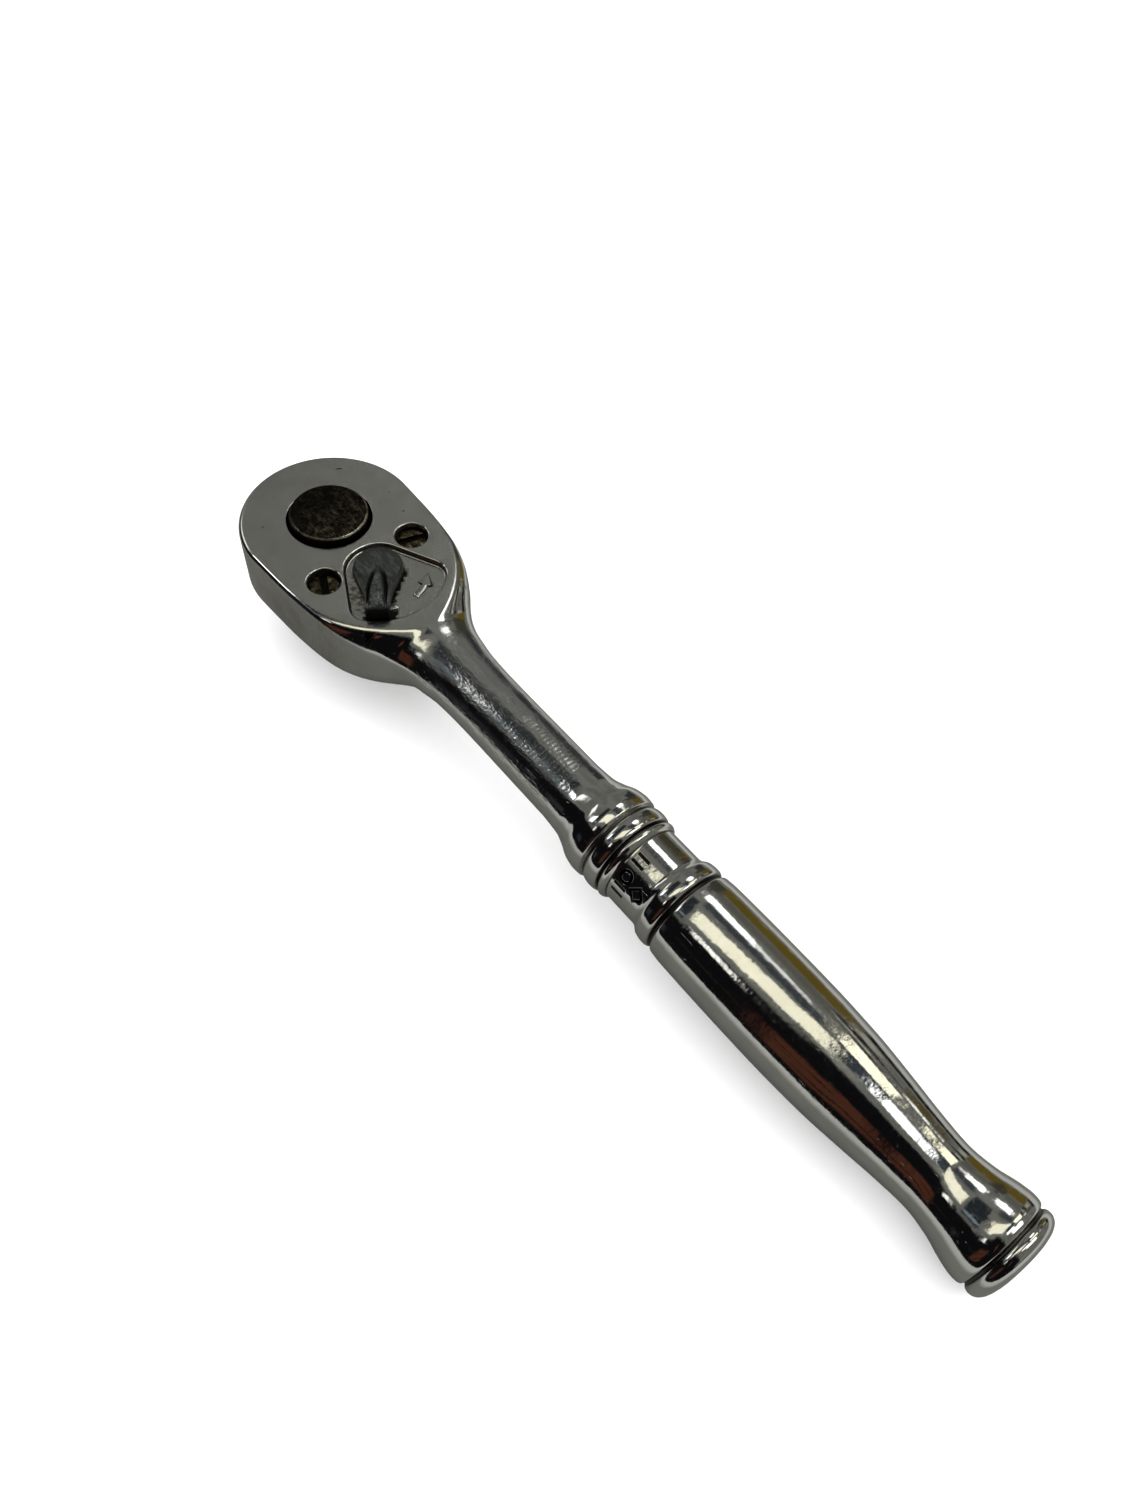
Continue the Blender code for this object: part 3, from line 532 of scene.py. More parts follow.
class Graph:
    """Short calls that add nodes to a tree. Each returns the new node's output."""

    def __init__(self, tree):
        self.tree = tree

    def node(self, kind, *inputs, out=0, **settings):
        made = self.tree.nodes.new("ShaderNode" + kind)
        for key, value in settings.items():
            setattr(made, key, value)
        for place, value in enumerate(inputs):
            if isinstance(value, tuple) and isinstance(value[0], str):
                self.feed(made.inputs[value[0]], value[1])
            elif value is not None:
                self.feed(made.inputs[place], value)
        return made.outputs[out]

    def feed(self, socket, value):
        if isinstance(value, bpy.types.NodeSocket):
            self.tree.links.new(value, socket)
        elif socket.type == "RGBA" and len(value) == 3:
            socket.default_value = (*value, 1.0)
        else:
            socket.default_value = value

    def math(self, operation, a, b=0.5, c=0.5, clamp=False):
        return self.node("Math", a, b, c, operation=operation, use_clamp=clamp)

    def ramp(self, value, low, high, at_low=0.0, at_high=1.0):
        """Rises smoothly from at_low to at_high while value runs from low to high."""
        return self.node("MapRange", value, low, high, at_low, at_high, interpolation_type="SMOOTHSTEP")

    def band(self, value, centre, half, soft):
        """1 within half of centre, falling to 0 over soft outside it."""
        away = self.math("ABSOLUTE", self.math("SUBTRACT", value, centre))
        return self.ramp(away, half, half + soft, 1.0, 0.0)

    def product(self, *values):
        total = values[0]
        for value in values[1:]:
            total = self.math("MULTIPLY", total, value)
        return total

    def blend(self, factor, first, second):
        made = self.tree.nodes.new("ShaderNodeMix")
        made.data_type = "RGBA"
        for name, value in (("Factor_Float", factor), ("A_Color", first), ("B_Color", second)):
            self.feed(next(s for s in made.inputs if s.identifier == name), value)
        return next(s for s in made.outputs if s.identifier == "Result_Color")

    def stretched(self, vector, scale, turn=(0, 0, 0)):
        """Coordinates scaled unevenly and turned, so that a texture runs in streaks."""
        return self.node("Mapping", vector, None, turn, scale)

    def parted(self, vector):
        """The three components of a vector."""
        made = self.tree.nodes.new("ShaderNodeSeparateXYZ")
        self.feed(made.inputs[0], vector)
        return made.outputs

    def highest(self, *values):
        total = values[0]
        for value in values[1:]:
            total = self.math("MAXIMUM", total, value)
        return total

    def noise(self, vector, scale, detail=3.0, roughness=0.5, distortion=0.0):
        return self.node("TexNoise", ("Vector", vector), ("Scale", scale), ("Detail", detail),
                         ("Roughness", roughness), ("Distortion", distortion))

    def cells(self, vector, scale):
        return self.node("TexVoronoi", ("Vector", vector), ("Scale", scale))

    def bump(self, height, depth, strength=1.0, before=None):
        """Surface relief, depth in millimetres."""
        made = self.tree.nodes.new("ShaderNodeBump")
        self.feed(made.inputs["Strength"], strength)
        self.feed(made.inputs["Distance"], depth * MM)
        self.feed(made.inputs["Height"], height)
        if before is not None:
            self.feed(made.inputs["Normal"], before)
        return made.outputs["Normal"]


class Surface(Graph):
    """A metal's node graph, with millimetre coordinates and the directions its masks need."""

    def __init__(self, name):
        self.material = bpy.data.materials.new(name)
        self.material.use_nodes = True
        super().__init__(self.material.node_tree)
        coordinates = self.tree.nodes.new("ShaderNodeTexCoord")
        to_mm = (1 / MM,) * 3
        self.place = self.node("VectorMath", coordinates.outputs["Object"], to_mm, operation="MULTIPLY")
        self.x, self.y, self.z = self.parted(self.place)
        self.up = self.parted(coordinates.outputs["Normal"])[2]
        self.shader = self.tree.nodes["Principled BSDF"]

    def shaded_corners(self, reach):
        """1 deep in corners and grooves, 0 on open surfaces. Whatever uses it paints shade there."""
        open_sky = self.node("AmbientOcclusion", ("Distance", reach * MM), out=1, samples=6)
        return self.ramp(open_sky, 0.35, 0.85, 1.0, 0.0)

    def along_lever(self):
        """Distance from the pivot along the resting lever, and to its side."""
        lean = math.radians(LEVER_REST)
        from_pivot = self.math("SUBTRACT", self.x, PIVOT_X)
        out = self.math("MULTIPLY_ADD", self.y, math.sin(lean), self.product(from_pivot, math.cos(lean)))
        aside = self.math("MULTIPLY_ADD", self.y, math.cos(lean), self.product(from_pivot, -math.sin(lean)))
        return out, aside

    def line(self, start, end, half):
        """1 on a thin straight mark from start to end."""
        run = Vector(end) - Vector(start)
        offset = self.node("VectorMath", self.place, start, operation="SUBTRACT")
        scale = tuple(run / run.length_squared)
        reach = self.node("VectorMath", offset, scale, out=1, operation="DOT_PRODUCT")
        reach = self.math("MINIMUM", self.math("MAXIMUM", reach, 0.0), 1.0)
        nearest = self.node("VectorMath", tuple(run), ("Scale", reach), operation="SCALE")
        away = self.node("VectorMath", offset, nearest, out=1, operation="DISTANCE")
        return self.ramp(away, half, half + 0.05, 1.0, 0.0)

    def nicks(self):
        """The few deeper marks that use has left on the head."""
        found = 0.0
        for start, end, half in NICKS:
            found = self.math("MAXIMUM", self.line(start, end, half), found)
        return found

    def grooves(self):
        """1 in the turned grooves beside the rings and the end cap."""
        found = 0.0
        for centre, half in GROOVES:
            found = self.math("MAXIMUM", self.band(self.x, centre, half, 0.09), found)
        return found

    def stamps(self):
        """Plain stamped marks on the collar: a ring, a diamond and two pairs of bars."""
        height = self.math("SUBTRACT", self.z, MIDDLE)
        around = self.math("MULTIPLY", self.math("ARCTAN2", self.y, height), COLLAR[2])
        found = 0.0
        for x, place, shape in STAMPS:
            dx = self.math("ABSOLUTE", self.math("SUBTRACT", self.x, x))
            dy = self.math("ABSOLUTE", self.math("SUBTRACT", around, place))
            if shape == "ring":
                flat = self.node("CombineXYZ", dx, dy, 0.0)
                away = self.node("VectorMath", flat, out=1, operation="LENGTH")
                mark = self.band(away, 0.62, 0.14, 0.06)
            elif shape == "diamond":
                mark = self.band(self.math("ADD", dx, dy), 0.8, 0.18, 0.07)
            else:
                mark = self.product(self.band(dy, 0.44, 0.14, 0.06), self.ramp(dx, 0.75, 0.83, 1.0, 0.0))
            found = self.math("MAXIMUM", mark, found)
        collar = self.product(self.ramp(self.x, 55.3, 55.5), self.ramp(self.x, 59.2, 59.4, 1.0, 0.0))
        return self.product(found, collar)

    def finish(self, colour, roughness, normal, metallic=1.0):
        for name, value in (("Base Color", colour), ("Roughness", roughness), ("Normal", normal),
                            ("Metallic", metallic)):
            self.feed(self.shader.inputs[name], value)
        return self.material


# Finishes ---------------------------------------------------------------------------------------------------


class Chrome(Surface):
    """Worn bright chrome: satin on the head's faces, ground and painted darker on its side, wavy on the neck,
    grimy in the grooves, with painted shade in its corners and on the recess wall and the lever's shadow
    painted on the recess floor. The masks run from 0 to 1."""

    def __init__(self):
        super().__init__("worn_chrome")
        self.face = self.product(self.ramp(self.x, 17.5, 20.5, 1.0, 0.0), self.ramp(self.up, 0.93, 0.99))
        self.side = self.product(self.ramp(self.x, 12, 20, 1.0, 0.0), self.band(self.up, 0.0, 0.35, 0.3))
        self.neck = self.product(self.ramp(self.x, 18, 24), self.ramp(self.x, 44, 47, 1.0, 0.0))
        self.grip = self.ramp(self.x, 60, 64)
        self.inner = self.product(self.ramp(self.x, 17.4, 17.8, 1.0, 0.0), self.band(self.y, 0.0, 6.6, 0.3),
                                  self.ramp(self.z, 15.36, 15.5, 1.0, 0.0), self.ramp(self.z, 8.0, 8.3))
        # The recess's steep wall and fillet, which get painted shade.
        self.wall = self.product(self.inner, self.ramp(self.up, 0.4, 0.8, 1.0, 0.0))
        self.cloud = self.noise(self.place, 0.35, 4)
        self.grain = self.noise(self.place, 2.4, 3)
        self.cast = self.noise(self.place, 2.0, 3)
        self.grinding = self.noise(self.stretched(self.place, (5.0, 5.0, 0.8), (0.35, 0, 0)), 1.0, 5, 0.65)
        self.marks, self.cuts = self.stamps(), self.nicks()
        self.wear()
        self.shadow_and_grime()

    def wear(self):
        """Swirls of the grinding wheel, hairline scratches and rust pits."""
        from_swirl = self.node("VectorMath", self.place, SWIRL_CENTRE, out=1, operation="DISTANCE")
        wavy = self.math("ADD", from_swirl, self.product(self.cloud, 0.6))
        self.arcs = self.math("SINE", self.math("MULTIPLY", wavy, 18.0))
        self.swirl = self.product(self.side, self.band(from_swirl, 2.0, 0.8, 0.8))
        scratch = self.noise(self.stretched(self.place, (0.14, 9.0, 9.0), (0, 0, -0.75)), 1.0, 2)
        self.hairline = self.product(self.ramp(scratch, 0.72, 0.76), self.ramp(self.cloud, 0.5, 0.56))
        pits = self.ramp(self.cells(self.place, 0.5), 0.05, 0.10, 1.0, 0.0)
        self.pits = self.product(pits, self.ramp(self.noise(self.place, 0.7, 2), 0.60, 0.64))

    def shadow_and_grime(self):
        """The resting lever's shadow painted on the recess floor beside it and ahead of its tip, a dark bronze
        tint to its left, painted shade in every corner and grime in the grooves.
        """
        out, aside = self.along_lever()
        ragged = self.math("MULTIPLY_ADD", self.cast, 1.3, self.math("SUBTRACT", aside, 0.65))
        leaning = self.math("MULTIPLY_ADD", out, 0.32, ragged)
        # Painted shadow of the resting lever on the recess floor: a ragged band beside its right side and a
        # patch ahead of its tip.
        beside = self.product(self.band(leaning, 2.3, 0.75, 0.4), self.band(out, 2.4, 2.2, 0.9))
        ahead = self.product(self.band(ragged, 0.35, 1.75, 0.3), self.ramp(out, 5.2, 6.0))
        self.bronze = self.product(self.band(ragged, -2.3, 0.6, 0.5), self.band(out, 3.2, 2.2, 1.5))
        self.lever_shadow = self.product(self.inner, self.highest(beside, ahead))
        outside = self.math("SUBTRACT", 1.0, self.product(self.inner, 0.75))
        # Painted shade in corners, weaker inside the recess, and grime in the turned grooves.
        self.grime_and_shade = self.highest(self.product(self.shaded_corners(0.6), outside), self.grooves())

    def relief(self):
        brushed = self.noise(self.stretched(self.place, (1.0, 3.4, 3.4), (0.5, 0.3, 0.6)), 1.0, 3, 0.6)
        chatter = self.node("TexWave", ("Vector", self.place), ("Scale", 0.6), ("Distortion", 1.6),
                            ("Detail", 1.0), ("Detail Scale", 0.5), bands_direction="X")
        patchy = self.noise(self.place, 0.45, 2)
        uneven = self.ramp(self.cloud, 0.3, 0.6, 0.35, 1.0)
        on_shank = self.product(self.neck, self.ramp(self.x, 20, 26), uneven)
        scored = self.math("ADD", self.marks, self.cuts)
        scored = self.math("ADD", self.hairline, self.math("ADD", self.pits, scored))
        normal = self.bump(self.cloud, 0.06, 0.5)
        normal = self.bump(self.grain, 0.007, self.ramp(self.face, 0, 1, 0.6, 0.25), normal)
        normal = self.bump(brushed, 0.05, on_shank, normal)
        normal = self.bump(chatter, 0.006, self.product(self.neck, self.ramp(self.x, 32, 38), 0.6), normal)
        normal = self.bump(self.grinding, 0.035, self.product(self.side, 0.8), normal)
        normal = self.bump(self.arcs, 0.02, self.product(self.swirl, 0.8), normal)
        normal = self.bump(self.cast, 0.05, self.product(self.inner, self.ramp(patchy, 0.45, 0.6)), normal)
        return self.bump(scored, -0.04, 0.7, normal)

    def colour(self):
        """The clean metal, then each kind of wear, painted shade and painted shadow over it: (how much, its
        colour).
        """
        rust = self.ramp(self.noise(self.place, 0.28, 3, 0.6), 0.46, 0.62)
        stain = self.product(self.side, rust, self.ramp(self.x, -4, 6, 1.0, 0.3))
        bronze_patch = self.product(self.inner, self.bronze, self.ramp(self.cast, 0.35, 0.65))
        layers = [
            # The ground side: its grinding streaks, and the whole side painted darker.
            (self.product(self.side, self.ramp(self.grinding, 0.4, 0.68, 0.25, 0.62)), (0.31, 0.295, 0.265)),
            (self.product(stain, 0.45), (0.36, 0.29, 0.23)),
            (self.product(self.swirl, self.ramp(self.arcs, 0.2, 0.9), 0.5), (0.25, 0.24, 0.22)),
            (self.product(self.inner, 0.12), (0.3, 0.29, 0.22)),
            # A dark bronze tint on the recess floor to the left of the lever.
            (self.product(bronze_patch, 0.8), (0.10, 0.08, 0.035)),
            # Near-black: the stamped marks and nicks, and the lever's painted shadow.
            (self.product(self.highest(self.marks, self.lever_shadow, self.cuts), 0.985), GREASE_AND_SHADE),
            # Painted shade on the recess's wall and fillet.
            (self.product(self.wall, 0.75), (0.06, 0.052, 0.04)),
            (self.product(self.pits, 0.85), (0.08, 0.07, 0.05)),
            (self.product(self.hairline, 0.3), (0.85, 0.85, 0.83)),
            # Painted shade in corners, and grime in the grooves.
            (self.product(self.grime_and_shade, 0.9), (0.04, 0.032, 0.022)),
        ]
        colour = self.blend(self.ramp(self.cloud, 0.3, 0.7), (0.60, 0.60, 0.575), (0.66, 0.66, 0.64))
        for share, tint in layers:
            colour = self.blend(share, colour, tint)
        return colour

    def roughness(self):
        rough = self.ramp(self.noise(self.place, 6.0, 4, 0.6), 0.3, 0.7, 0.03, 0.10)
        rubbed = self.product(self.grip, self.ramp(self.grain, 0.45, 0.75))
        for mask, added in ((self.face, 0.16), (self.side, 0.15), (self.neck, 0.05), (rubbed, 0.07)):
            rough = self.math("ADD", rough, self.product(mask, added))
        # Rougher where shade and the lever's shadow are painted, and in the grime.
        rough_in_shade_and_grime = self.product(self.highest(self.grime_and_shade, self.wall, self.lever_shadow), 0.3)
        return self.math("ADD", rough, rough_in_shade_and_grime, clamp=True)


def chrome():
    s = Chrome()
    return s.finish(s.colour(), s.roughness(), s.relief())


def dark_steel(name, dark, light, roughness, streak_turn, shaded_below, front_shine=1.0):
    """Oiled, rubbed steel: brushed streaks, blotches of old oil, painted shade in its corners and inside the
    head, a painted highlight on one side of its rim, clean steel below the head.
    """
    s = Surface(name)
    brushed = s.noise(s.stretched(s.place, (0.8, 6.5, 3.0), (0, 0, streak_turn)), 1.0, 4, 0.7)
    blotch = s.noise(s.place, 1.15, 6, 0.72, 0.8)
    speck = s.ramp(s.cells(s.place, 2.6), 0.12, 0.3, 1.0, 0.0)
    # Painted shade inside the head: darker from about 10 mm up to just below the height shaded_below, then
    # blended with the corners' painted shade to near-black.
    depth = s.product(s.ramp(s.z, shaded_below - 0.12, shaded_below, 1.0, 0.0), s.ramp(s.z, 9.0, 10.0))
    grime_and_shade = s.highest(s.shaded_corners(0.4), depth)
    # Towards -X the lighter shine fades, down to the share given by the last argument.
    shine = s.product(s.ramp(blotch, 0.42, 0.72), s.ramp(brushed, 0.34, 0.66, 0.06, 1.0),
                      s.ramp(s.x, -3.5, 4.0, front_shine, 1.0))
    colour = s.blend(shine, dark, light)
    colour = s.blend(s.product(speck, s.ramp(blotch, 0.4, 0.6), 0.6), colour, dark)
    below_head = s.product(s.ramp(s.z, 8.0, 8.3, 1.0, 0.0), s.ramp(brushed, 0.3, 0.7, 0.75, 1.0))
    colour = s.blend(below_head, colour, (0.46, 0.45, 0.42))
    colour = s.blend(s.product(grime_and_shade, 0.92), colour, GREASE_AND_SHADE)
    # Painted highlight: a lighter band on the chamfered rim above shaded_below, on the +X side only.
    edge = s.product(s.band(s.up, 0.7, 0.2, 0.06), s.ramp(s.z, shaded_below, shaded_below + 0.04),
                     s.ramp(s.x, -3, 2))
    colour = s.blend(s.product(edge, s.ramp(blotch, 0.3, 0.6)), colour, (0.62, 0.58, 0.46))
    normal = s.bump(brushed, 0.03, 0.6)
    normal = s.bump(blotch, 0.03, 0.4, normal)
    rough = s.ramp(blotch, 0.3, 0.7, roughness + 0.12, roughness - 0.1)
    return s.finish(colour, s.math("ADD", rough, s.product(grime_and_shade, 0.3), clamp=True), normal)


def bright_steel(name, colour, roughness):
    """Hardened or spring steel: fine drawing marks, a little oil."""
    s = Surface(name)
    drawn = s.noise(s.stretched(s.place, (3.0, 12.0, 12.0)), 1.0, 4)
    oil = s.noise(s.place, 1.1, 3)
    # Painted shade: corners and grooves darkened to near-black.
    grime_and_shade = s.shaded_corners(0.3)
    tint = s.blend(s.ramp(oil, 0.4, 0.7), colour, tuple(0.72 * c for c in colour))
    tint = s.blend(s.product(grime_and_shade, 0.7), tint, (0.03, 0.025, 0.018))
    normal = s.bump(drawn, 0.006, 0.5)
    return s.finish(tint, s.ramp(drawn, 0.3, 0.7, roughness - 0.06, roughness + 0.08), normal)


def black_oxide():
    """Blackened lever: matt and slightly blue, lighter along its ridges from rubbed wear and a painted sheen,
    with painted shade at its foot, on its tip's end face and in its corners.
    """
    s = Surface("rubbed_black_oxide")
    cast = s.noise(s.place, 3.2, 5, 0.62)
    smear = s.noise(s.stretched(s.place, (0.7, 2.6, 2.0), (0, 0, 0.61)), 1.0, 4)
    # Higher up, the lever is lighter and has light specks: rubbed wear on the crest plus a painted sheen where
    # light catches it.
    crest = s.ramp(s.z, 16.1, 17.6)
    from_pivot = s.node("VectorMath", s.node("CombineXYZ", s.x, s.y, 0.0), (PIVOT_X, 0.0, 0.0), out=1,
                        operation="DISTANCE")
    # Painted shade: the tip's end face and the lever's foot by the recess floor go near-black, as do its
    # corners.
    tip = s.product(s.ramp(from_pivot, 6.0, 6.8), s.ramp(s.z, 16.6, 17.3, 1.0, 0.0))
    foot = s.ramp(s.z, 15.2, 15.6, 1.0, 0.0)
    grime_and_shade = s.highest(s.shaded_corners(0.7), tip, foot)
    speck = s.product(s.ramp(s.noise(s.place, 5.0, 3, 0.6), 0.5, 0.68), crest, 0.6)
    on_crest = s.product(crest, s.ramp(smear, 0.4, 0.7), 0.5)
    rubbed = s.math("ADD", on_crest, s.product(s.ramp(smear, 0.45, 0.75), 0.3))
    colour = s.blend(rubbed, (0.06, 0.065, 0.06), (0.27, 0.29, 0.28))
    colour = s.blend(speck, colour, (0.42, 0.45, 0.44))
    colour = s.blend(s.product(grime_and_shade, 0.92), colour, (0.006, 0.006, 0.005))
    normal = s.bump(cast, 0.05, 0.8)
    rough = s.math("ADD", s.ramp(cast, 0.3, 0.7, 0.36, 0.52), s.product(grime_and_shade, 0.3), clamp=True)
    return s.finish(colour, rough, normal, 0.9)


def cover(obj, material):
    obj.data.materials.clear()
    obj.data.materials.append(material)


def dress(nodes):
    """Gives every CAD piece that is still shown its finish: (material, slot, bevel of its edges)."""
    screw = dark_steel("oiled_screw_steel", (0.02, 0.016, 0.009), (0.62, 0.52, 0.33), 0.30, 1.1, 14.86)
    gear = dark_steel("oiled_gear_steel", (0.008, 0.007, 0.004), (0.42, 0.37, 0.26), 0.32, -0.75, 16.25, 0.2)
    plate = bright_steel("ground_plate_steel", (0.5, 0.5, 0.47), 0.3)
    hard = bright_steel("hardened_steel", (0.42, 0.42, 0.41), 0.22)
    spring = bright_steel("blue_spring_steel", (0.26, 0.27, 0.3), 0.3)
    finishes = {
        "cover_screw_left": (screw, "screw_steel", 0.06), "cover_screw_right": (screw, "screw_steel", 0.06),
        "drive_gear": (gear, "gear_steel", 0.12), "cover_plate": (plate, "plate_steel", 0.08),
        "pawl": (hard, "hard_steel", 0.05), "selector_clip": (spring, "spring_steel", 0.03),
        "drive_ball": (hard, "hard_steel", 0), "selector_ball": (hard, "hard_steel", 0),
        "drive_ball_spring": (spring, "spring_steel", 0), "selector_spring": (spring, "spring_steel", 0),
    }
    for name, (material, slot_name, bevel) in finishes.items():
        node = nodes[name]
        cover(node, material)
        refine(node, bevel)


# Surroundings -----------------------------------------------------------------------------------------------


# Edges of the table that the chrome mirrors, in metres across the tool, as (start of fade, end)
TABLE_FAR_EDGE = (0.064, 0.076)
TABLE_NEAR_EDGE = (-0.041, -0.047)
TABLE_HALF = 1.5


def table_material():
    """Pale to the eye. In the chrome it is grey, as a lit table is next to bright windows, darker where looked
    down on, and it ends beside the tool, so that the room shows beyond it."""
    material = bpy.data.materials.new("pale_table")
    material.use_nodes = True
    g = Graph(material.node_tree)
    mirrored = g.node("LightPath", out=3)
    place = g.node("TexCoord", out=3)
    weave = g.noise(place, 900.0, 3)
    seen = g.blend(g.ramp(weave, 0.3, 0.7), (0.925, 0.925, 0.925), (0.935, 0.935, 0.935))
    steepness = g.parted(g.node("NewGeometry", out=4))[2]
    reflected = g.blend(g.ramp(steepness, 0.3, 0.55), (0.30, 0.30, 0.285), (0.125, 0.125, 0.116))
    shader = material.node_tree.nodes["Principled BSDF"]
    g.feed(shader.inputs["Base Color"], g.blend(mirrored, seen, reflected))
    shader.inputs["Roughness"].default_value = 0.9
    shader.inputs["Specular IOR Level"].default_value = 0.0
    across = g.parted(place)[1]
    near, near_end = TABLE_NEAR_EDGE
    beyond = g.math("ADD", g.ramp(across, *TABLE_FAR_EDGE), g.ramp(across, near_end, near, 1.0, 0.0))
    covered = g.node("MixShader", g.product(beyond, mirrored), shader.outputs[0], g.node("BsdfTransparent"))
    g.feed(g.tree.nodes["Material Output"].inputs["Surface"], covered)
    return material


def make_floor():
    """A plain pale table top, touching the drive's edge and the end cap."""
    mesh = bpy.data.meshes.new("table_top")
    corners = [(x * TABLE_HALF, y * TABLE_HALF, 0) for x, y in ((-1, -1), (1, -1), (1, 1), (-1, 1))]
    mesh.from_pydata(corners, [], [(0, 1, 2, 3)])
    mesh.materials.append(table_material())
    floor = bpy.data.objects.new("table_top", mesh)
    bpy.context.scene.collection.objects.link(floor)
    lean = Matrix.Rotation(-FLOOR_TILT, 4, "Y")
    floor.matrix_world = Matrix.Translation(Vector(FLOOR_CONTACT) * MM) @ lean


DARK = (0.005, 0.005, 0.006)
# What the chrome mirrors. Each patch: towards +X, turn about X from straight up in degrees (towards +Y), half
# sizes of both, how much the patch climbs along X, softness of its edge, and its light.
ROOM = {
    "shade under the near edge": (0.0, -80.0, 1.3, 33.0, 0.0, 0.12, DARK),
    "dark furniture": (0.44, -52.0, 0.50, 37.0, 0.0, 0.15, DARK),
    "furniture's sloping top": (-0.15, -62.0, 0.21, 30.0, 60.0, 0.22, DARK),
    "blind": (0.11, 10.0, 0.10, 13.0, 0.0, 0.35, (0.035, 0.045, 0.058)),
    "sill": (0.06, -9.0, 0.10, 7.0, 30.0, 0.6, (0.25, 0.25, 0.22)),
    "beam": (-0.48, -4.0, 0.09, 6.5, 140.0, 0.5, (0.055, 0.055, 0.052)),
    "dim corner": (-0.455, -14.0, 0.085, 28.0, 0.0, 0.2, (0.022, 0.026, 0.032)),
    "haze": (-0.45, -33.0, 0.085, 4.0, 0.0, 0.6, (0.20, 0.26, 0.31)),
    "door": (-0.45, 81.0, 0.08, 14.0, 0.0, 0.25, (0.035, 0.037, 0.042)),
    "door's shadow": (-0.39, 62.0, 0.03, 14.0, -150.0, 0.5, (0.06, 0.06, 0.06)),
    "curtain": (-0.32, 74.0, 0.06, 17.0, 0.0, 0.3, (0.055, 0.052, 0.036)),
    "grey wall": (-0.16, 57.0, 0.15, 9.0, 0.0, 0.5, (0.12, 0.12, 0.10)),
    "wooden board": (-0.15, 81.0, 0.125, 13.0, 0.0, 0.1, (0.13, 0.092, 0.016)),
    "wall between windows": (-0.16, 21.0, 0.15, 7.5, 25.0, 0.4, (0.05, 0.058, 0.066)),
    "shade under the far edge": (0.09, 90.0, 0.115, 5.0, 0.0, 0.3, DARK),
    "side board": (0.17, 72.0, 0.045, 12.0, 0.0, 0.5, (0.10, 0.08, 0.03)),
    "pale box": (0.03, 76.0, 0.045, 7.0, 0.0, 0.35, (0.38, 0.37, 0.32)),
    "gap above the box": (0.04, 63.5, 0.09, 2.5, 0.0, 0.5, DARK),
    "shelf": (0.03, 55.5, 0.065, 2.6, -25.0, 0.5, (0.50, 0.49, 0.42)),
    "shelf's shadow": (0.07, 50.5, 0.06, 2.0, 0.0, 0.5, (0.03, 0.03, 0.03)),
    "far window": (-0.28, 35.0, 0.095, 7.5, 0.0, 0.25, (2.8, 2.8, 2.8)),
    "far window's end": (-0.15, 34.5, 0.07, 4.0, 0.0, 0.7, (1.1, 1.1, 1.05)),
    "right window": (0.09, 34.5, 0.085, 12.0, 0.0, 0.15, (1.9, 1.82, 1.4)),
    "strip of light": (0.18, 55.0, 0.02, 4.0, -60.0, 0.5, (1.6, 1.6, 1.5)),
    "near window": (-0.135, -6.0, 0.155, 13.5, 65.0, 0.13, (1.38, 1.33, 1.05)),
    "end window": (0.225, 7.0, 0.045, 11.0, 0.0, 0.2, (2.6, 2.6, 2.6)),
    "lamp": (-0.60, -31.0, 0.06, 9.0, 60.0, 0.4, (3.0, 3.0, 3.0)),
    "left window": (-0.79, -14.0, 0.08, 15.0, -150.0, 0.4, (1.6, 1.6, 1.55)),
    "bright doorway": (0.38, 24.0, 0.10, 16.0, 0.0, 0.3, (4.0, 4.0, 3.6)),
    "small lamp": (-0.215, -43.0, 0.038, 3.5, 0.0, 0.5, (1.8, 1.8, 1.7)),
    "red cloth": (0.05, -72.0, 0.17, 17.5, 30.0, 0.25, (0.078, 0.028, 0.016)),
    "fold": (0.02, -67.0, 0.11, 1.4, 32.0, 0.6, DARK),
    "deep fold": (0.10, -78.0, 0.13, 1.5, 55.0, 0.6, DARK),
    "red cloth's end": (0.36, -38.0, 0.07, 5.0, -95.0, 0.3, (0.105, 0.036, 0.02)),
    "low shelf": (-0.5, -88.0, 0.10, 8.0, 0.0, 0.4, (0.028, 0.03, 0.034)),
    "lip": (-0.15, -77.0, 0.16, 0.9, 0.0, 0.6, (0.02, 0.02, 0.014)),
}
CEILING = (0.20, 0.20, 0.185)
SOFT_WHITE = (1.7, 1.7, 1.7)


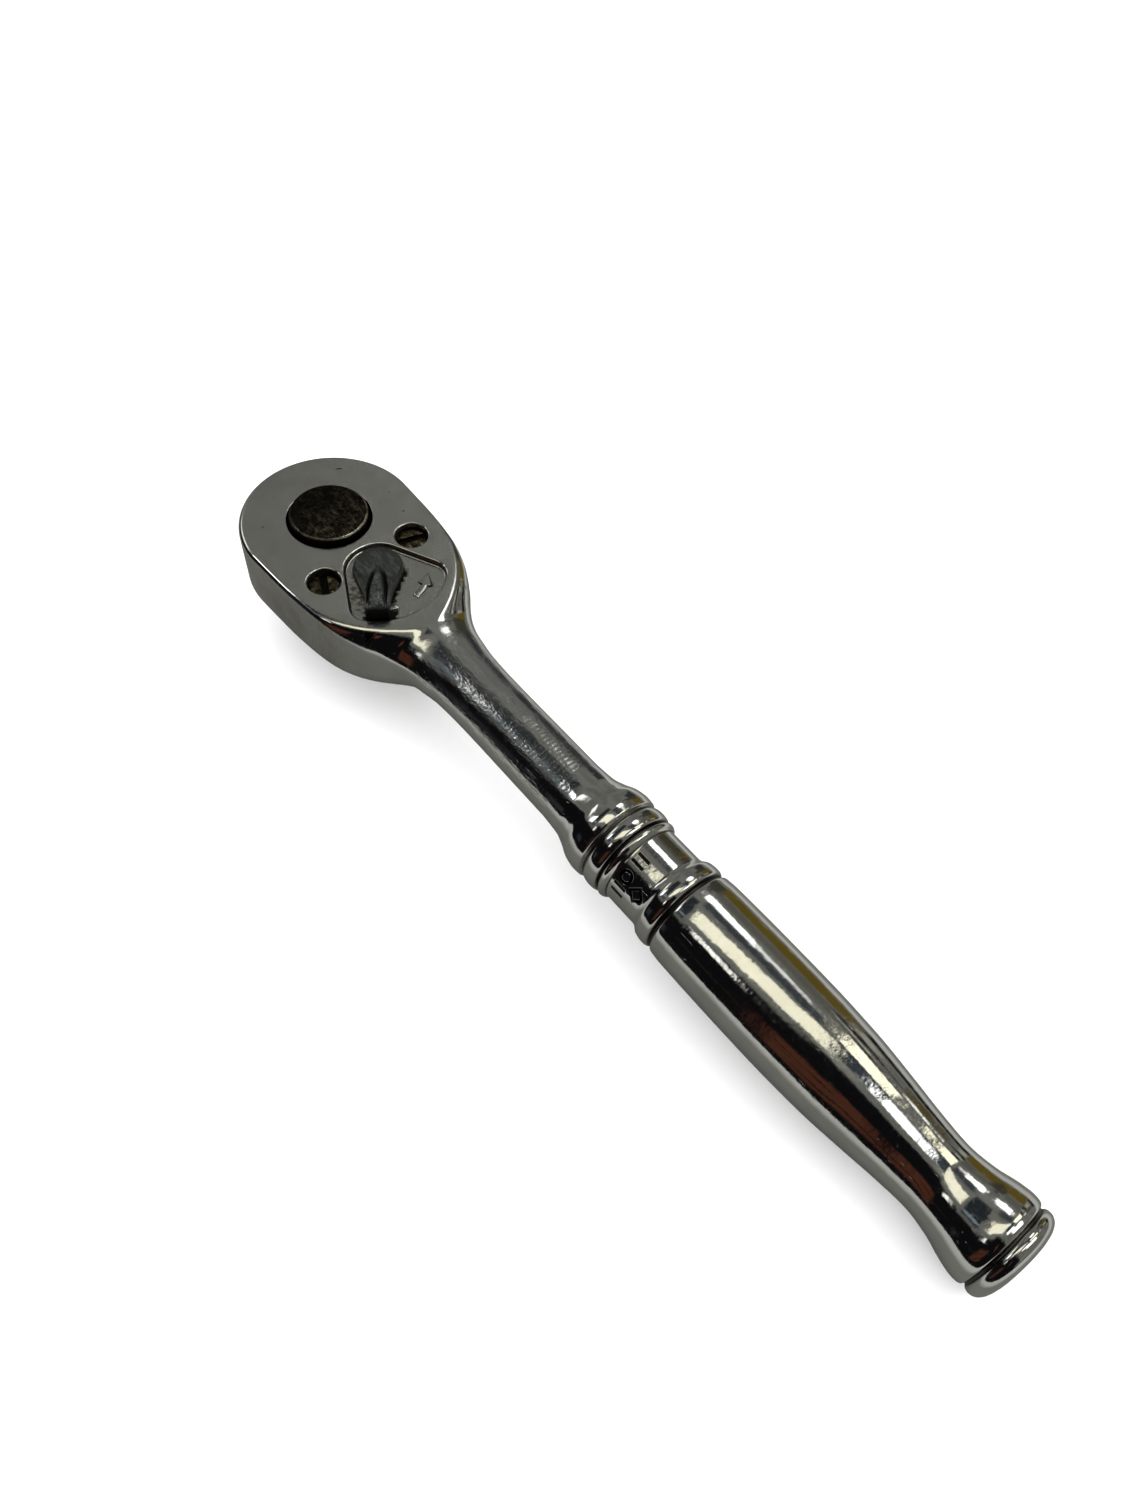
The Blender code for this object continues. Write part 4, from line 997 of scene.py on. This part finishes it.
def make_room():
    """Mirrored rays meet the room: a grey ceiling and its patches. All other rays meet an even soft white."""
    world = bpy.data.worlds.new("room")
    bpy.context.scene.world = world
    world.use_nodes = True
    world.cycles.sampling_method = "NONE"
    g = Graph(world.node_tree)
    direction = g.node("TexCoord", out=0)
    along, across, up = g.parted(direction)
    ragged = g.node("MapRange", g.noise(direction, 9.0, 3), 0.0, 1.0, -5.0, 5.0)
    turn = g.math("ADD", g.math("DEGREES", g.math("ARCTAN2", across, up)), ragged)
    along = g.math("MULTIPLY_ADD", g.noise(direction, 11.0, 2), 0.03, g.math("SUBTRACT", along, 0.015))
    cloud = g.noise(direction, 3.0, 3)
    colour = g.blend(g.ramp(cloud, 0.35, 0.65), CEILING, tuple(0.72 * c for c in CEILING))
    for x, angle, half_x, half_angle, slope, soft, light in ROOM.values():
        turned_by = g.math("MULTIPLY_ADD", g.math("SUBTRACT", along, x), -slope, turn)
        here = g.product(g.band(along, x, half_x * (1 - soft), half_x * soft * 1.5),
                         g.band(turned_by, angle, half_angle * (1 - soft), half_angle * soft * 1.5))
        colour = g.blend(here, colour, light)
    background = g.tree.nodes["Background"]
    g.feed(background.inputs["Color"], g.blend(g.node("LightPath", out=3), SOFT_WHITE, colour))
    background.inputs["Strength"].default_value = 1.0


def add_light(name, place, size, watts):
    """A soft box aimed at the middle of the tool, lighting the table but not mirrored in the chrome."""
    data = bpy.data.lights.new(name, "AREA")
    data.shape, data.size, data.energy = "DISK", size, watts
    lamp = bpy.data.objects.new(name, data)
    lamp.location = place
    lamp.rotation_euler = (Vector((0.045, 0, 0.008)) - Vector(place)).to_track_quat("-Z", "Y").to_euler()
    lamp.visible_glossy = False
    lamp.visible_camera = False
    bpy.context.scene.collection.objects.link(lamp)


def make_camera():
    """Looks down along the tool from behind its handle."""
    place, target = Vector(CAMERA_PLACE) * MM, Vector(CAMERA_TARGET) * MM
    data = bpy.data.cameras.new("camera")
    data.lens = CAMERA_LENS
    data.clip_start, data.clip_end = 0.005, 20.0
    camera = bpy.data.objects.new("camera", data)
    aim = (target - place).to_track_quat("-Z", "Y").to_matrix().to_4x4()
    roll = Matrix.Rotation(math.radians(CAMERA_ROLL), 4, "Z")
    camera.matrix_world = Matrix.Translation(place) @ aim @ roll
    bpy.context.scene.collection.objects.link(camera)
    bpy.context.scene.camera = camera


def build_scene(nodes):
    cover(make_body(), chrome())
    cover(make_lever(), black_oxide())
    dress(nodes)
    make_floor()
    make_room()
    add_light("window_light", (0.42, 0.42, 1.0), 0.6, 2.4)
    make_camera()
    bpy.context.scene.view_settings.view_transform = "Standard"


build_scene(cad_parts)
